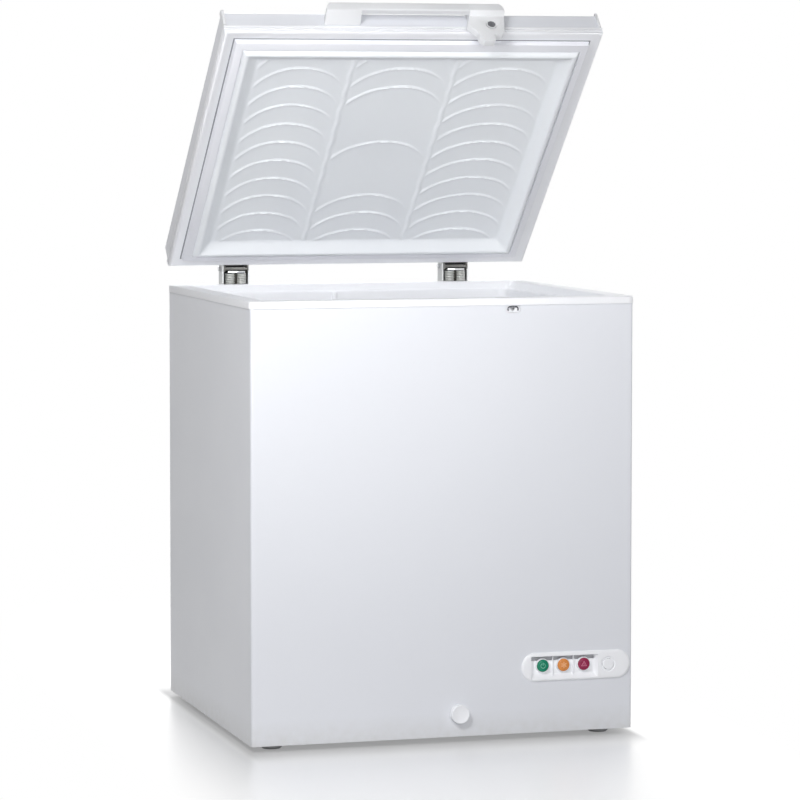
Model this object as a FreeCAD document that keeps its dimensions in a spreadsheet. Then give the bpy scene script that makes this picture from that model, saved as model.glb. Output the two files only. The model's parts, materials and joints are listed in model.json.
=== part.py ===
# Spark-free laboratory chest freezer, shown with its lid held half open.
# Millimetres. X runs to the right as seen from the front, Y to the back, Z up from the floor,
# and the origin lies on the floor under the middle of the whole, hinges included.
# Each part is modelled about the middle of the cabinet and its Placement moves it to the origin.
# The lid and all that it carries are modelled closed and then turned about the hinge pins.
import FreeCAD, Part
import math
import os
import re
import Sketcher

# Driving dimensions
SIZES = {
    # Cabinet
    "cabinet_width": 760,
    "cabinet_depth": 676,
    "rim_top": 850,
    "foot_gap": 12,
    "cut_past": 1,
    "wall": 52,
    "floor_wall": 64,
    "wrap_gauge": 0.8,
    "wrap_corner": 5,
    "wrap_top_drop": 4,
    "panel_gauge": 0.8,
    "tray_gauge": 1,
    "liner_gauge": 1.2,
    "liner_corner": 18,
    "fit_gap": 0.3,
    # Raised floor over the machine compartment
    "step_width": 240,
    "step_top": 300,
    "bulkhead_gauge": 0.8,
    # Top rim
    "rim_overhang": 2.5,
    "rim_width": 36,
    "rim_skirt": 14,
    "rim_gauge": 2,
    "rim_flare": 12,
    "rim_flare_drop": 16,
    # Feet
    "foot_radius": 20,
    "foot_sole_radius": 17,
    "foot_inset_x": 52,
    "foot_inset_y": 50,
    "foot_stem_radius": 5,
    "foot_stem_rise": 8,
    # Air slots under the compressor
    "tray_slots": 5,
    "tray_slot_pitch": 30,
    "tray_slot_length": 120,
    "tray_slot_width": 8,
    # Control panel
    "bezel_inset": 115,
    "bezel_z": 138.5,
    "bezel_width": 220.6,
    "bezel_height": 55.6,
    "bezel_proud": 4,
    "bezel_skirt": 3,
    "window_left_inset": 205.5,
    "window_right_inset": 70.6,
    "window_bottom": 117,
    "window_top": 157.4,
    "window_depth": 2.5,
    "lamp_radius": 12,
    "lamp_proud": 1.5,
    "lamp_body_radius": 10,
    "lamp_body_depth": 26,
    "power_lamp_inset": 182.5,
    "quick_freeze_inset": 140.6,
    "alarm_lamp_inset": 99,
    "lamp_z": 140.8,
    "button_travel": 2.5,
    "knob_inset": 50,
    "knob_z": 139,
    "knob_radius": 10.5,
    "knob_dish_radius": 15,
    "knob_dish_depth": 1.5,
    "knob_proud": 1,
    "knob_depth": 9,
    "knob_slot_width": 1.6,
    "knob_slot_depth": 2.4,
    "thermostat_width": 36,
    "thermostat_height": 30,
    "thermostat_depth": 34,
    "thermostat_shaft_radius": 3,
    "control_box_depth": 44,
    "control_box_wall": 1.6,
    "control_box_height": 42,
    "board_gauge": 1.6,
    # Drain
    "drain_x": 29,
    "drain_z": 56,
    "drain_bore": 8,
    "drain_sump_bore": 9,
    "drain_tube_wall": 2,
    "drain_sump_y": -180,
    "drain_cap_radius": 17.8,
    "drain_cap_proud": 13,
    "drain_cap_rim": 4,
    "drain_stem_length": 60,
    "drain_plug_radius": 17,
    "drain_plug_height": 5,
    # Machine compartment
    "compartment_top": 248,
    "grille_y": 60,
    "grille_z": 135,
    "grille_length": 280,
    "grille_height": 150,
    "grille_proud": 3,
    "grille_slots": 9,
    "grille_slot_height": 7,
    "rear_cover_margin": 12,
    "rear_cover_slots": 8,
    "rear_slot_length": 150,
    "rear_slot_height": 6,
    "gland_inset": 190,
    "gland_z": 48,
    "gland_radius": 9,
    "compressor_inset": 108,
    "compressor_y": 140,
    "compressor_radius": 74,
    "compressor_height": 168,
    "compressor_foot_spread_x": 82,
    "compressor_foot_spread_y": 60,
    "grommet_radius": 12,
    "grommet_height": 18,
    "rail_width": 34,
    "rail_height": 8,
    "rail_gauge": 1.5,
    "tube_radius": 3,
    "drier_radius": 11,
    "drier_length": 110,
    # Sensor conduit on the back liner wall
    "conduit_x": -44,
    "conduit_width": 10,
    "conduit_depth": 7,
    "conduit_drop": 330,
    # Lid
    "lid_open_angle": 43.5,
    "lid_gap": 13.3,
    "lid_height": 51.2,
    "lid_frame_height": 16.2,
    "lid_lip": 20.5,
    "lid_gauge": 1,
    "lid_corner": 6,
    "lid_bead_proud": 1,
    "gasket_outset": 23,
    "gasket_height": 13,
    "gasket_inset": 41,
    "gasket_flank": 9,
    "ridge_crest": 48,
    "ridge_crest_width": 4,
    "ridge_height": 18,
    "ridge_inner": 75,
    "panel_thickness": 1.6,
    "cap_reach": 9,
    "cap_skin": 3,
    "cap_rise": 3,
    # Handle and lock
    "handle_left": -183,
    "handle_block_right": -111,
    "handle_proud": 31,
    "handle_bar_depth": 14,
    "handle_bar_drop": 21.5,
    "handle_corner": 18,
    "handle_root_drop": 33.5,
    "lock_left": 108,
    "lock_right": 178,
    "lock_face": 20,
    "lock_x": 147,
    "lock_rise": 16,
    "lock_barrel_radius": 9,
    "lock_flange_radius": 10.5,
    "key_slot_width": 2,
    "key_slot_length": 10,
    "key_slot_depth": 8,
    "lock_bottom_drop": 9,
    "tongue_left": 117,
    "tongue_right": 148,
    "tongue_drop": 26.5,
    "tongue_back": 3.5,
    "bolt_x": 136,
    "bolt_drop": 20.5,
    "bolt_radius": 3.5,
    "bolt_length": 14,
    "keeper_x": 136.7,
    "keeper_drop": 22,
    "keeper_width": 33,
    "keeper_height": 17,
    "keeper_depth": 13,
    "keeper_wall": 1.5,
    "strike_width": 24,
    "strike_height": 11.5,
    "strike_gauge": 1.5,
    # Counterbalance hinges
    "hinge_x": 237.4,
    "hinge_width": 56,
    "hinge_gauge": 2,
    "hinge_pivot_back": 30,
    "hinge_pivot_rise": 17,
    "hinge_front": 6.5,
    "hinge_web_back": 44,
    "hinge_top": 14,
    "hinge_web_drop": 4,
    "hinge_drop": 150,
    "hinge_ear": 16,
    "hinge_neck": 6,
    "hinge_screw_radius": 2.5,
    "hinge_screw_inset": 14,
    "pin_radius": 3,
    "pin_clearance": 0.05,
    "pin_overhang": 2,
    "pin_head": 2,
    "leaf_gap": 0.8,
    "leaf_gauge": 2,
    "leaf_rise": 30,
    "leaf_eye": 9,
    "crank_radius": 24,
    "crank_pin_radius": 3,
    "crank_lug": 3.5,
    "follower_gap": 1,
    "follower_depth": 17,
    "follower_thickness": 4,
    "rod_radius": 3.5,
    "rod_length": 128,
    "guide_drop": 104,
    "guide_thickness": 3,
    "spring_wire": 2.8,
    "spring_turns": 15,
    "bush_radius": 8.8,
}

doc = FreeCAD.newDocument("chest_freezer")
sheet = doc.addObject("Spreadsheet::Sheet", "dims")
for row, (alias, number) in enumerate(SIZES.items(), start=1):
    sheet.set("A%d" % row, alias)
    sheet.set("B%d" % row, str(number))
    sheet.setAlias("B%d" % row, alias)
doc.recompute()

# Sizes that follow from the sheet, written as formulas of its cells
HALF_X = "(cabinet_width / 2)"
HALF_Y = "(cabinet_depth / 2)"
RIM_X = "(cabinet_width / 2 + rim_overhang)"
RIM_Y = "(cabinet_depth / 2 + rim_overhang)"
WELL_X = "(cabinet_width / 2 - wall)"
WELL_Y = "(cabinet_depth / 2 - wall)"
WELL_FLOOR = "(foot_gap + tray_gauge + floor_wall)"
FLANGE_TOP = "(rim_top - rim_flare_drop)"
STEP_X = "(cabinet_width / 2 - wall - step_width)"
COMPARTMENT_X = "(cabinet_width / 2 - step_width)"
LIP_Z = "(rim_top + lid_gap)"
FRAME_TOP = "(rim_top + lid_gap + lid_frame_height)"
LID_TOP = "(rim_top + lid_gap + lid_height)"
PIVOT_Y = "(cabinet_depth / 2 + rim_overhang + hinge_pivot_back)"
PIVOT_Z = "(rim_top + lid_gap + hinge_pivot_rise)"
WRAP_INSIDE = "(cabinet_width / 2 - wrap_gauge - fit_gap)"
FRONT = "(-cabinet_depth / 2)"
LID_FRONT = "(-cabinet_depth / 2 - rim_overhang)"
ORIGIN_SHIFT = "(drain_cap_proud - hinge_web_back) / 2"

# The crank pin on the closed lid; at the rest angle it is level with the hinge pin
CRANK = ("(%s - crank_radius * cos(lid_open_angle))" % PIVOT_Y,
         "(%s - crank_radius * sin(lid_open_angle))" % PIVOT_Z)

# Places and sizes that are tied to a side, the rim or the hinge's width
TIED = {
    "bezel_x": "(cabinet_width / 2 - bezel_inset)",
    "window_left": "(cabinet_width / 2 - window_left_inset)",
    "window_right": "(cabinet_width / 2 - window_right_inset)",
    "power_lamp_x": "(cabinet_width / 2 - power_lamp_inset)",
    "quick_freeze_x": "(cabinet_width / 2 - quick_freeze_inset)",
    "alarm_lamp_x": "(cabinet_width / 2 - alarm_lamp_inset)",
    "knob_x": "(cabinet_width / 2 - knob_inset)",
    "gland_x": "(cabinet_width / 2 - gland_inset)",
    "compressor_x": "(cabinet_width / 2 - compressor_inset)",
    "conduit_bottom": "(rim_top - conduit_drop)",
    "lock_z": "(rim_top + lock_rise)",
    "lock_bottom": "(rim_top - lock_bottom_drop)",
    "tongue_bottom": "(rim_top - tongue_drop)",
    "bolt_z": "(rim_top - bolt_drop)",
    "keeper_z": "(rim_top - keeper_drop)",
    "hinge_bottom": "(rim_top - hinge_drop)",
    "follower_width": "(hinge_width - 20)",
    "spring_radius": "(hinge_width * 0.15)",
    "spring_offset": "(hinge_width / 4)",
}

NODES = {}


def formula(text):
    """Write out the tied words and point each word that names a cell at the sheet."""
    def written_out(match):
        return TIED.get(match.group(0), match.group(0))

    def cell(match):
        word = match.group(0)
        return "dims." + word if word in SIZES else word
    words = r"[a-z][a-z_0-9]*"
    return re.sub(words, cell, re.sub(words, written_out, str(text)))


def value(text):
    """The present value of a formula of the sheet."""
    return float(sheet.evalExpression(formula(text).replace("dims.", "")))


def bind(target, prop, text):
    target.setExpression(prop, formula(text))


def place(target, x=0, y=0, z=0):
    """Tie a placement's base to the sheet."""
    for axis, text in zip("xyz", (x, y, z)):
        bind(target, "Placement.Base." + axis, text)


def keep(target, node):
    """Make an object a sub-part under its node name, moved with the whole to the origin."""
    at = [text for path, text in target.ExpressionEngine if path.endswith("Placement.Base.y")]
    target.setExpression("Placement.Base.y", " + ".join(at + [formula(ORIGIN_SHIFT)]))
    target.Label = node
    NODES[node] = target


def keep_on_lid(target, node):
    """Make an object modelled on the closed lid a sub-part, turned to the open rest pose."""
    base = "create(<<vector>>; 0; %s; 0)" % formula(ORIGIN_SHIFT)
    turn = "create(<<rotation>>; create(<<vector>>; 1; 0; 0); -dims.lid_open_angle)"
    pivot = "create(<<vector>>; 0; %s; %s)" % (formula(PIVOT_Y), formula(PIVOT_Z))
    target.setExpression("Placement", "create(<<placement>>; %s; %s; %s)" % (base, turn, pivot))
    target.Label = node
    NODES[node] = target


# Primitives
def box(name, x, y, z):
    solid = doc.addObject("Part::Box", name)
    for prop, (low, high) in zip(("Length", "Width", "Height"), (x, y, z)):
        bind(solid, prop, "(%s) - (%s)" % (high, low))
    place(solid, x[0], y[0], z[0])
    return solid


def rod(name, radius, start, length, along="z"):
    """A cylinder from a start point along one axis; minus signs turn it round."""
    solid = doc.addObject("Part::Cylinder", name)
    bind(solid, "Radius", radius)
    bind(solid, "Height", length)
    turns = {
        "z": FreeCAD.Rotation(),
        "x": FreeCAD.Rotation(FreeCAD.Vector(0, 1, 0), 90),
        "y": FreeCAD.Rotation(FreeCAD.Vector(1, 0, 0), -90),
        "-y": FreeCAD.Rotation(FreeCAD.Vector(1, 0, 0), 90),
        "-z": FreeCAD.Rotation(FreeCAD.Vector(1, 0, 0), 180),
    }
    solid.Placement = FreeCAD.Placement(FreeCAD.Vector(), turns[along])
    place(solid, *start)
    return solid


def frustum(name, low, high):
    """A rectangular frustum; low and high are (half width, half depth, height)."""
    solid = doc.addObject("Part::Wedge", name)
    solid.Placement = FreeCAD.Placement(FreeCAD.Vector(), FreeCAD.Rotation(FreeCAD.Vector(1, 0, 0), 90))
    ends = (("X%s", low[0]), ("Z%s", low[1]), ("X2%s", high[0]), ("Z2%s", high[1]))
    for prop, half in ends:
        bind(solid, prop % "min", "-(%s)" % half)
        bind(solid, prop % "max", half)
    bind(solid, "Ymin", low[2])
    bind(solid, "Ymax", high[2])
    return solid


def fuse(name, *solids):
    whole = doc.addObject("Part::MultiFuse", name)
    whole.Shapes = list(solids)
    return whole


def cut(name, base, *tools):
    rest = doc.addObject("Part::Cut", name)
    rest.Base = base
    rest.Tool = tools[0] if len(tools) == 1 else fuse(name + "_tools", *tools)
    return rest


def common(name, first, second):
    shared = doc.addObject("Part::MultiCommon", name)
    shared.Shapes = [first, second]
    return shared


def round_edges(name, base, radius, chosen):
    """Fillet the edges of a Part object that the test picks."""
    doc.recompute()
    numbers = [index for index, edge in enumerate(base.Shape.Edges, start=1) if chosen(edge)]
    rounded = doc.addObject("Part::Fillet", name)
    rounded.Base = base
    rounded.Edges = [(index, value(radius), value(radius)) for index in numbers]
    return rounded


def runs_along(edge, axis):
    """True for a straight edge along x, y or z."""
    if len(edge.Vertexes) < 2:
        return False
    step = edge.Vertexes[1].Point - edge.Vertexes[0].Point
    if step.Length < 1e-6:
        return False
    return abs(getattr(step, axis)) > 0.999 * step.Length


# Bodies with sketches
def new_body(name):
    return doc.addObject("PartDesign::Body", name)


def new_sketch(body, name, role, offset=None):
    sketch = body.newObject("Sketcher::SketchObject", name)
    planes = [feature for feature in body.Origin.OriginFeatures if feature.Role == role]
    sketch.AttachmentSupport = [(planes[0], "")]
    sketch.MapMode = "FlatFace"
    if offset is not None:
        bind(sketch, "AttachmentOffset.Base.z", offset)
    return sketch


def outline(body, name, role, corners, offset=None):
    """A closed polygon whose every corner is tied to the sheet."""
    sketch = new_sketch(body, name, role, offset)
    points = [FreeCAD.Vector(value(x), value(y), 0) for x, y in corners]
    count = len(points)
    for index in range(count):
        sketch.addGeometry(Part.LineSegment(points[index], points[(index + 1) % count]), False)
    for index in range(count):
        sketch.addConstraint(Sketcher.Constraint("Coincident", index, 2, (index + 1) % count, 1))
    for index, corner in enumerate(corners):
        for kind, text, length in (("DistanceX", corner[0], points[index].x),
                                   ("DistanceY", corner[1], points[index].y)):
            number = sketch.addConstraint(Sketcher.Constraint(kind, -1, 1, index, 1, length))
            label = "%s%d" % (kind, index)
            sketch.renameConstraint(number, label)
            bind(sketch, "Constraints." + label, text)
    return sketch


def pad(body, sketch, length, reverse=False, middle=False):
    feature = body.newObject("PartDesign::Pad", sketch.Name + "_pad")
    feature.Profile = sketch
    bind(feature, "Length", length)
    feature.Reversed = reverse
    feature.Midplane = middle
    sketch.Visibility = False
    return feature


def turned(name, profile, at=(0, 0, 0), facing="z"):
    """A body revolved about its own Z axis from (radius, height) corners."""
    body = new_body(name)
    sketch = outline(body, name + "_profile", "XZ_Plane", profile)
    feature = body.newObject("PartDesign::Revolution", name + "_turn")
    feature.Profile = sketch
    feature.ReferenceAxis = (sketch, ["V_Axis"])
    feature.Angle = 360
    turns = {"z": 0, "-y": 90, "y": -90}
    body.Placement = FreeCAD.Placement(
        FreeCAD.Vector(), FreeCAD.Rotation(FreeCAD.Vector(1, 0, 0), turns[facing]))
    place(body, *at)
    return body


# Cabinet
def stadium(name, half_width, half_height, x, z, front, depth):
    """A bar with round ends that points to the back."""
    left_x = "(%s) - (%s) + (%s)" % (x, half_width, half_height)
    right_x = "(%s) + (%s) - (%s)" % (x, half_width, half_height)
    straight = box(name + "_bar", (left_x, right_x), (front, "(%s) + (%s)" % (front, depth)),
                   ("(%s) - (%s)" % (z, half_height), "(%s) + (%s)" % (z, half_height)))
    left = rod(name + "_left", half_height, (left_x, front, z), depth, "y")
    right = rod(name + "_right", half_height, (right_x, front, z), depth, "y")
    return fuse(name, straight, left, right)


def make_outer_wrap():
    """One sheet bent round the front and both sides, with its panel, drain and lock holes."""
    body = new_body("wrap_sheet")
    profile = outline(body, "wrap_profile", "XY_Plane", [
        ("-" + HALF_X, HALF_Y), ("-" + HALF_X, "-" + HALF_Y), (HALF_X, "-" + HALF_Y), (HALF_X, HALF_Y),
        (HALF_X + " - wrap_gauge", HALF_Y), (HALF_X + " - wrap_gauge", "-" + HALF_Y + " + wrap_gauge"),
        ("-" + HALF_X + " + wrap_gauge", "-" + HALF_Y + " + wrap_gauge"),
        ("-" + HALF_X + " + wrap_gauge", HALF_Y)], "foot_gap")
    sheet_pad = pad(body, profile, "rim_top - wrap_top_drop - foot_gap")
    doc.recompute()
    outer = [index for index, edge in enumerate(sheet_pad.Shape.Edges, start=1)
             if runs_along(edge, "z") and edge.CenterOfMass.y < -value(HALF_Y) + 0.01]
    bend = body.newObject("PartDesign::Fillet", "wrap_bend")
    bend.Base = (sheet_pad, ["Edge%d" % index for index in outer])
    bind(bend, "Radius", "wrap_corner")
    doc.recompute()
    inner = [index for index, edge in enumerate(bend.Shape.Edges, start=1)
             if runs_along(edge, "z")
             and abs(edge.CenterOfMass.y + value(HALF_Y) - value("wrap_gauge")) < 0.01]
    bend_inside = body.newObject("PartDesign::Fillet", "wrap_bend_inside")
    bend_inside.Base = (bend, ["Edge%d" % index for index in inner])
    bind(bend_inside, "Radius", "wrap_corner - wrap_gauge")
    panel_hole = stadium("wrap_panel_hole", "bezel_width / 2 - bezel_skirt - fit_gap",
                         "control_box_height / 2 + fit_gap", "bezel_x", "bezel_z",
                         FRONT + " - 1", "wrap_gauge + 2")
    drain_hole = rod("wrap_drain_hole", "drain_bore + drain_tube_wall + fit_gap",
                     ("drain_x", FRONT + " - 1", "drain_z"), "wrap_gauge + 2", "y")
    keeper_hole = stadium("wrap_keeper_hole", "keeper_width / 2 - keeper_wall + fit_gap",
                          "keeper_height / 2 - keeper_wall + fit_gap", "keeper_x", "keeper_z",
                          FRONT + " - 1", "wrap_gauge + 2")
    grille_hole = box("wrap_grille_hole", (HALF_X + " - wrap_gauge - 1", HALF_X + " + 1"),
                      ("grille_y - grille_length / 2 + rear_cover_margin",
                       "grille_y + grille_length / 2 - rear_cover_margin"),
                      ("grille_z - grille_height / 2 + rear_cover_margin",
                       "grille_z + grille_height / 2 - rear_cover_margin"))
    keep(cut("wrap", body, panel_hole, drain_hole, keeper_hole, grille_hole), "outer_wrap")


def make_rear_panel():
    """The flat back sheet between the sides, open behind the machine compartment."""
    panel = box("rear_sheet", ("-" + WRAP_INSIDE, WRAP_INSIDE),
                (HALF_Y + " - panel_gauge", HALF_Y),
                ("foot_gap + tray_gauge", "rim_top - wrap_top_drop"))
    opening = box("rear_opening", (COMPARTMENT_X + " + rear_cover_margin",
                                   HALF_X + " - rear_cover_margin - wrap_gauge"),
                  (HALF_Y + " - panel_gauge - 1", HALF_Y + " + 1"),
                  ("foot_gap + rear_cover_margin", "compartment_top - rear_cover_margin"))
    keep(cut("rear_with_opening", panel, opening), "rear_panel")


def slot_row(name, count, x, y, z, pitch, height):
    """Equal horizontal slots stacked from z upwards."""
    slots = []
    for index in range(int(value(count))):
        low = "(%s) + %d * (%s)" % (z, index, pitch)
        slots.append(box("%s_%d" % (name, index), x, y, (low, "%s + %s" % (low, height))))
    return slots


def make_rear_cover():
    """A louvred plate that closes the machine compartment, with the cable gland's hole."""
    plate = box("cover_plate", (COMPARTMENT_X, WRAP_INSIDE),
                (HALF_Y, HALF_Y + " + panel_gauge"),
                ("foot_gap + tray_gauge", "compartment_top"))
    middle = "(%s + %s) / 2" % (COMPARTMENT_X, HALF_X)
    slots = slot_row("cover_slot", "rear_cover_slots",
                     (middle + " - rear_slot_length / 2", middle + " + rear_slot_length / 2"),
                     (HALF_Y + " - 1", HALF_Y + " + panel_gauge + 1"),
                     "gland_z + 3 * gland_radius", "2.6 * rear_slot_height", "rear_slot_height")
    hole = rod("cover_gland_hole", "gland_radius - 2", ("gland_x", HALF_Y + " - 1", "gland_z"),
               "panel_gauge + 2", "y")
    keep(cut("cover", plate, hole, *slots), "rear_cover")
    gland = turned("gland", [
        ("gland_radius / 2", 0), ("gland_radius - 2 - fit_gap", 0),
        ("gland_radius - 2 - fit_gap", "panel_gauge + 2"),
        ("gland_radius", "panel_gauge + 2"), ("gland_radius", "panel_gauge + 5"),
        ("gland_radius * 0.7", "panel_gauge + 14"), ("gland_radius / 2", "panel_gauge + 14")],
        ("gland_x", HALF_Y + " - 2", "gland_z"), "y")
    keep(gland, "cable_gland")


def make_base_tray():
    """The bottom sheet, slotted under the compressor and drilled for the feet."""
    sheet_metal = box("tray_sheet", ("-" + WRAP_INSIDE, WRAP_INSIDE),
                      ("-" + HALF_Y + " + wrap_gauge + fit_gap", HALF_Y + " - fit_gap"),
                      ("foot_gap", "foot_gap + tray_gauge"))
    rounded = round_edges("tray_rounded", sheet_metal, "wrap_corner", lambda edge: (
        runs_along(edge, "z") and edge.CenterOfMass.y < 0))
    slots = []
    for index in range(SIZES["tray_slots"]):
        middle = "compressor_y + (%d - (tray_slots - 1) / 2) * tray_slot_pitch" % index
        slots.append(box("tray_slot_%d" % index,
                         ("compressor_x - tray_slot_length / 2", "compressor_x + tray_slot_length / 2"),
                         (middle + " - tray_slot_width / 2", middle + " + tray_slot_width / 2"),
                         ("foot_gap - cut_past", "foot_gap + tray_gauge + cut_past")))
    stems = []
    for index, (side, end) in enumerate(((-1, -1), (1, -1), (-1, 1), (1, 1))):
        x, y = foot_place(side, end)
        stems.append(rod("tray_foot_hole_%d" % index, "foot_stem_radius + fit_gap",
                         (x, y, "foot_gap - cut_past"), "tray_gauge + 2 * cut_past"))
    keep(cut("tray", rounded, *(slots + stems)), "base_tray")


def foot_place(side, end):
    """The middle of a foot, by its side (-1 left, 1 right) and end (-1 front, 1 rear)."""
    return "%d * (%s - foot_inset_x)" % (side, HALF_X), "%d * (%s - foot_inset_y)" % (end, HALF_Y)


def make_feet():
    """Four low moulded glides, each with a stem through the tray."""
    names = {(-1, -1): "foot_front_left", (1, -1): "foot_front_right",
             (-1, 1): "foot_rear_left", (1, 1): "foot_rear_right"}
    for (side, end), node in names.items():
        foot = turned(node + "_body", [
            (0, 0), ("foot_sole_radius", 0), ("foot_radius", 3), ("foot_radius", "foot_gap"),
            ("foot_stem_radius", "foot_gap"), ("foot_stem_radius", "foot_gap + foot_stem_rise"),
            (0, "foot_gap + foot_stem_rise")], foot_place(side, end) + (0,))
        keep(foot, node)


def well_blocks(name, grow, top):
    """The deep part and the shallow part over the step, as one solid grown by an amount."""
    deep = box(name + "_deep", ("-%s - (%s)" % (WELL_X, grow), "%s + (%s)" % (STEP_X, grow)),
               ("-%s - (%s)" % (WELL_Y, grow), "%s + (%s)" % (WELL_Y, grow)),
               ("%s - (%s)" % (WELL_FLOOR, grow), top))
    shallow = box(name + "_shallow", ("-%s - (%s)" % (WELL_X, grow), "%s + (%s)" % (WELL_X, grow)),
                  ("-%s - (%s)" % (WELL_Y, grow), "%s + (%s)" % (WELL_Y, grow)),
                  ("step_top - (%s)" % grow, top))
    whole = fuse(name + "_blocks", deep, shallow)
    limit = value(WELL_X) + value(grow) - 0.01
    return round_edges(name, whole, "liner_corner + (%s)" % grow,
                       lambda edge: runs_along(edge, "z") and abs(edge.CenterOfMass.x) > limit)


def make_liner():
    """The tank: walls, stepped floor and an outward flange under the rim."""
    outer = well_blocks("liner_outer", "liner_gauge", FLANGE_TOP)
    inner = well_blocks("liner_inner", 0, FLANGE_TOP + " + 1")
    flange = box("liner_flange", ("-%s + rim_width" % RIM_X, "%s - rim_width" % RIM_X),
                 ("-%s + rim_width" % RIM_Y, "%s - rim_width" % RIM_Y),
                 (FLANGE_TOP + " - liner_gauge", FLANGE_TOP))
    drain = rod("liner_drain", "drain_sump_bore",
                ("drain_x", "drain_sump_y", WELL_FLOOR + " - liner_gauge - cut_past"),
                "liner_gauge + 2 * cut_past")
    keep(cut("liner", fuse("liner_solid", outer, flange), inner, drain), "inner_liner")


def make_foam():
    """The insulation between wrap and liner, cut away for the machine compartment."""
    block = box("foam_block", ("-" + WRAP_INSIDE, WRAP_INSIDE),
                ("-" + HALF_Y + " + wrap_gauge + fit_gap", HALF_Y + " - panel_gauge - fit_gap"),
                ("foot_gap + tray_gauge", FLANGE_TOP + " - liner_gauge - fit_gap"))
    rounded = round_edges("foam_rounded", block, "wrap_corner", lambda edge: (
        runs_along(edge, "z") and edge.CenterOfMass.y < 0))
    well = well_blocks("foam_well", "liner_gauge + fit_gap", FLANGE_TOP + " + 1")
    compartment = box("foam_compartment", (COMPARTMENT_X + " - bulkhead_gauge - fit_gap", HALF_X + " + 1"),
                      ("-" + HALF_Y + " - 1", HALF_Y + " + 1"),
                      ("foot_gap - 1", "compartment_top + bulkhead_gauge + fit_gap"))
    tube = rod("foam_drain_run", "drain_bore + drain_tube_wall + fit_gap",
               ("drain_x", "-" + HALF_Y + " - 1", "drain_z"),
               "%s + 1 + drain_sump_y" % HALF_Y, "y")
    riser = rod("foam_drain_riser", "drain_sump_bore + drain_tube_wall + fit_gap",
                ("drain_x", "drain_sump_y", "drain_z - drain_sump_bore - 2 * drain_tube_wall - fit_gap"),
                WELL_FLOOR)
    keeper = stadium("foam_keeper", "keeper_width / 2 + fit_gap", "keeper_height / 2 + fit_gap",
                     "keeper_x", "keeper_z", FRONT, "keeper_depth + wrap_gauge + fit_gap")
    feet = []
    for index, (side, end) in enumerate(((-1, -1), (-1, 1))):
        feet.append(rod("foam_foot_%d" % index, "foot_stem_radius + fit_gap",
                        foot_place(side, end) + ("foot_gap",), "foot_stem_rise + fit_gap"))
    keep(cut("foam", rounded, well, compartment, tube, riser, keeper, *feet), "foam_insulation")


def make_rim():
    """The frame on top of the walls: skirt, flat top and flare down into the well."""
    block = box("rim_block", ("-" + RIM_X, RIM_X), ("-" + RIM_Y, RIM_Y),
                ("rim_top - rim_skirt", "rim_top"))
    softened = round_edges("rim_softened", block, "wrap_corner", lambda edge: runs_along(edge, "z"))
    hollow = box("rim_hollow", ("-%s + rim_gauge" % RIM_X, "%s - rim_gauge" % RIM_X),
                 ("-%s + rim_gauge" % RIM_Y, "%s - rim_gauge" % RIM_Y),
                 ("rim_top - rim_skirt - 1", "rim_top - rim_gauge"))
    shell = cut("rim_shell", softened, hollow)
    outset = "rim_width + rim_flare - rim_gauge"
    flare = frustum("rim_flare_outside",
                    ("%s - (%s)" % (RIM_X, outset), "%s - (%s)" % (RIM_Y, outset), FLANGE_TOP),
                    ("%s - rim_width + rim_gauge" % RIM_X, "%s - rim_width + rim_gauge" % RIM_Y, "rim_top"))
    mouth = frustum("rim_mouth",
                    ("%s - rim_width - rim_flare" % RIM_X, "%s - rim_width - rim_flare" % RIM_Y,
                     FLANGE_TOP),
                    ("%s - rim_width" % RIM_X, "%s - rim_width" % RIM_Y, "rim_top"))
    keep(cut("rim", fuse("rim_solid", shell, flare), mouth), "top_rim")


def make_conduit():
    """The moulded strip that covers the sensor lead on the back wall of the well."""
    strip = box("conduit_strip", ("conduit_x - conduit_width / 2", "conduit_x + conduit_width / 2"),
                (WELL_Y + " - conduit_depth", WELL_Y), ("conduit_bottom", FLANGE_TOP + " - 2"))
    rounded = round_edges("conduit_rounded", strip, "conduit_width / 4", lambda edge: (
        runs_along(edge, "z") and edge.CenterOfMass.y < value(WELL_Y) - value("conduit_depth") + 0.01))
    keep(rounded, "sensor_conduit")


# Control panel
def make_bezel():
    """The stadium-shaped panel with its sunk window, lamp holes and knob well."""
    plate = stadium("bezel_plate", "bezel_width / 2", "bezel_height / 2", "bezel_x", "bezel_z",
                    FRONT + " - bezel_proud", "bezel_proud")
    doc.recompute()
    front = value(FRONT) - value("bezel_proud")
    softened = round_edges("bezel_softened", plate, "bezel_proud / 2", lambda edge: (
        abs(edge.CenterOfMass.y - front) < 0.01 and on_bezel_rim(edge)))
    window = box("bezel_window", ("window_left", "window_right"),
                 (FRONT + " - bezel_proud - 1", FRONT + " - bezel_proud + window_depth"),
                 ("window_bottom", "window_top"))
    before = FRONT + " - bezel_proud - cut_past"
    through = "bezel_proud + 2 * cut_past"
    holes = []
    for name in ("power_lamp_x", "quick_freeze_x", "alarm_lamp_x"):
        holes.append(rod("bezel_hole_" + name, "lamp_radius + fit_gap", (name, before, "lamp_z"),
                         through, "y"))
    at_knob = ("knob_x", before, "knob_z")
    holes.append(rod("bezel_knob_well", "knob_radius + fit_gap", at_knob, through, "y"))
    holes.append(rod("bezel_knob_dish", "knob_dish_radius", at_knob, "knob_dish_depth + cut_past", "y"))
    keep(cut("bezel", softened, window, *holes), "control_bezel")


def on_bezel_rim(edge):
    """True for an edge on the outside of the bezel's outline."""
    reach_x = value("bezel_width / 2 - bezel_height / 2")
    for vertex in edge.Vertexes:
        x = abs(vertex.Point.x - value("bezel_x"))
        z = abs(vertex.Point.z - value("bezel_z"))
        away = z if x <= reach_x + 0.01 else math.hypot(x - reach_x, z)
        if abs(away - value("bezel_height / 2")) > 0.05:
            return False
    return True


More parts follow.
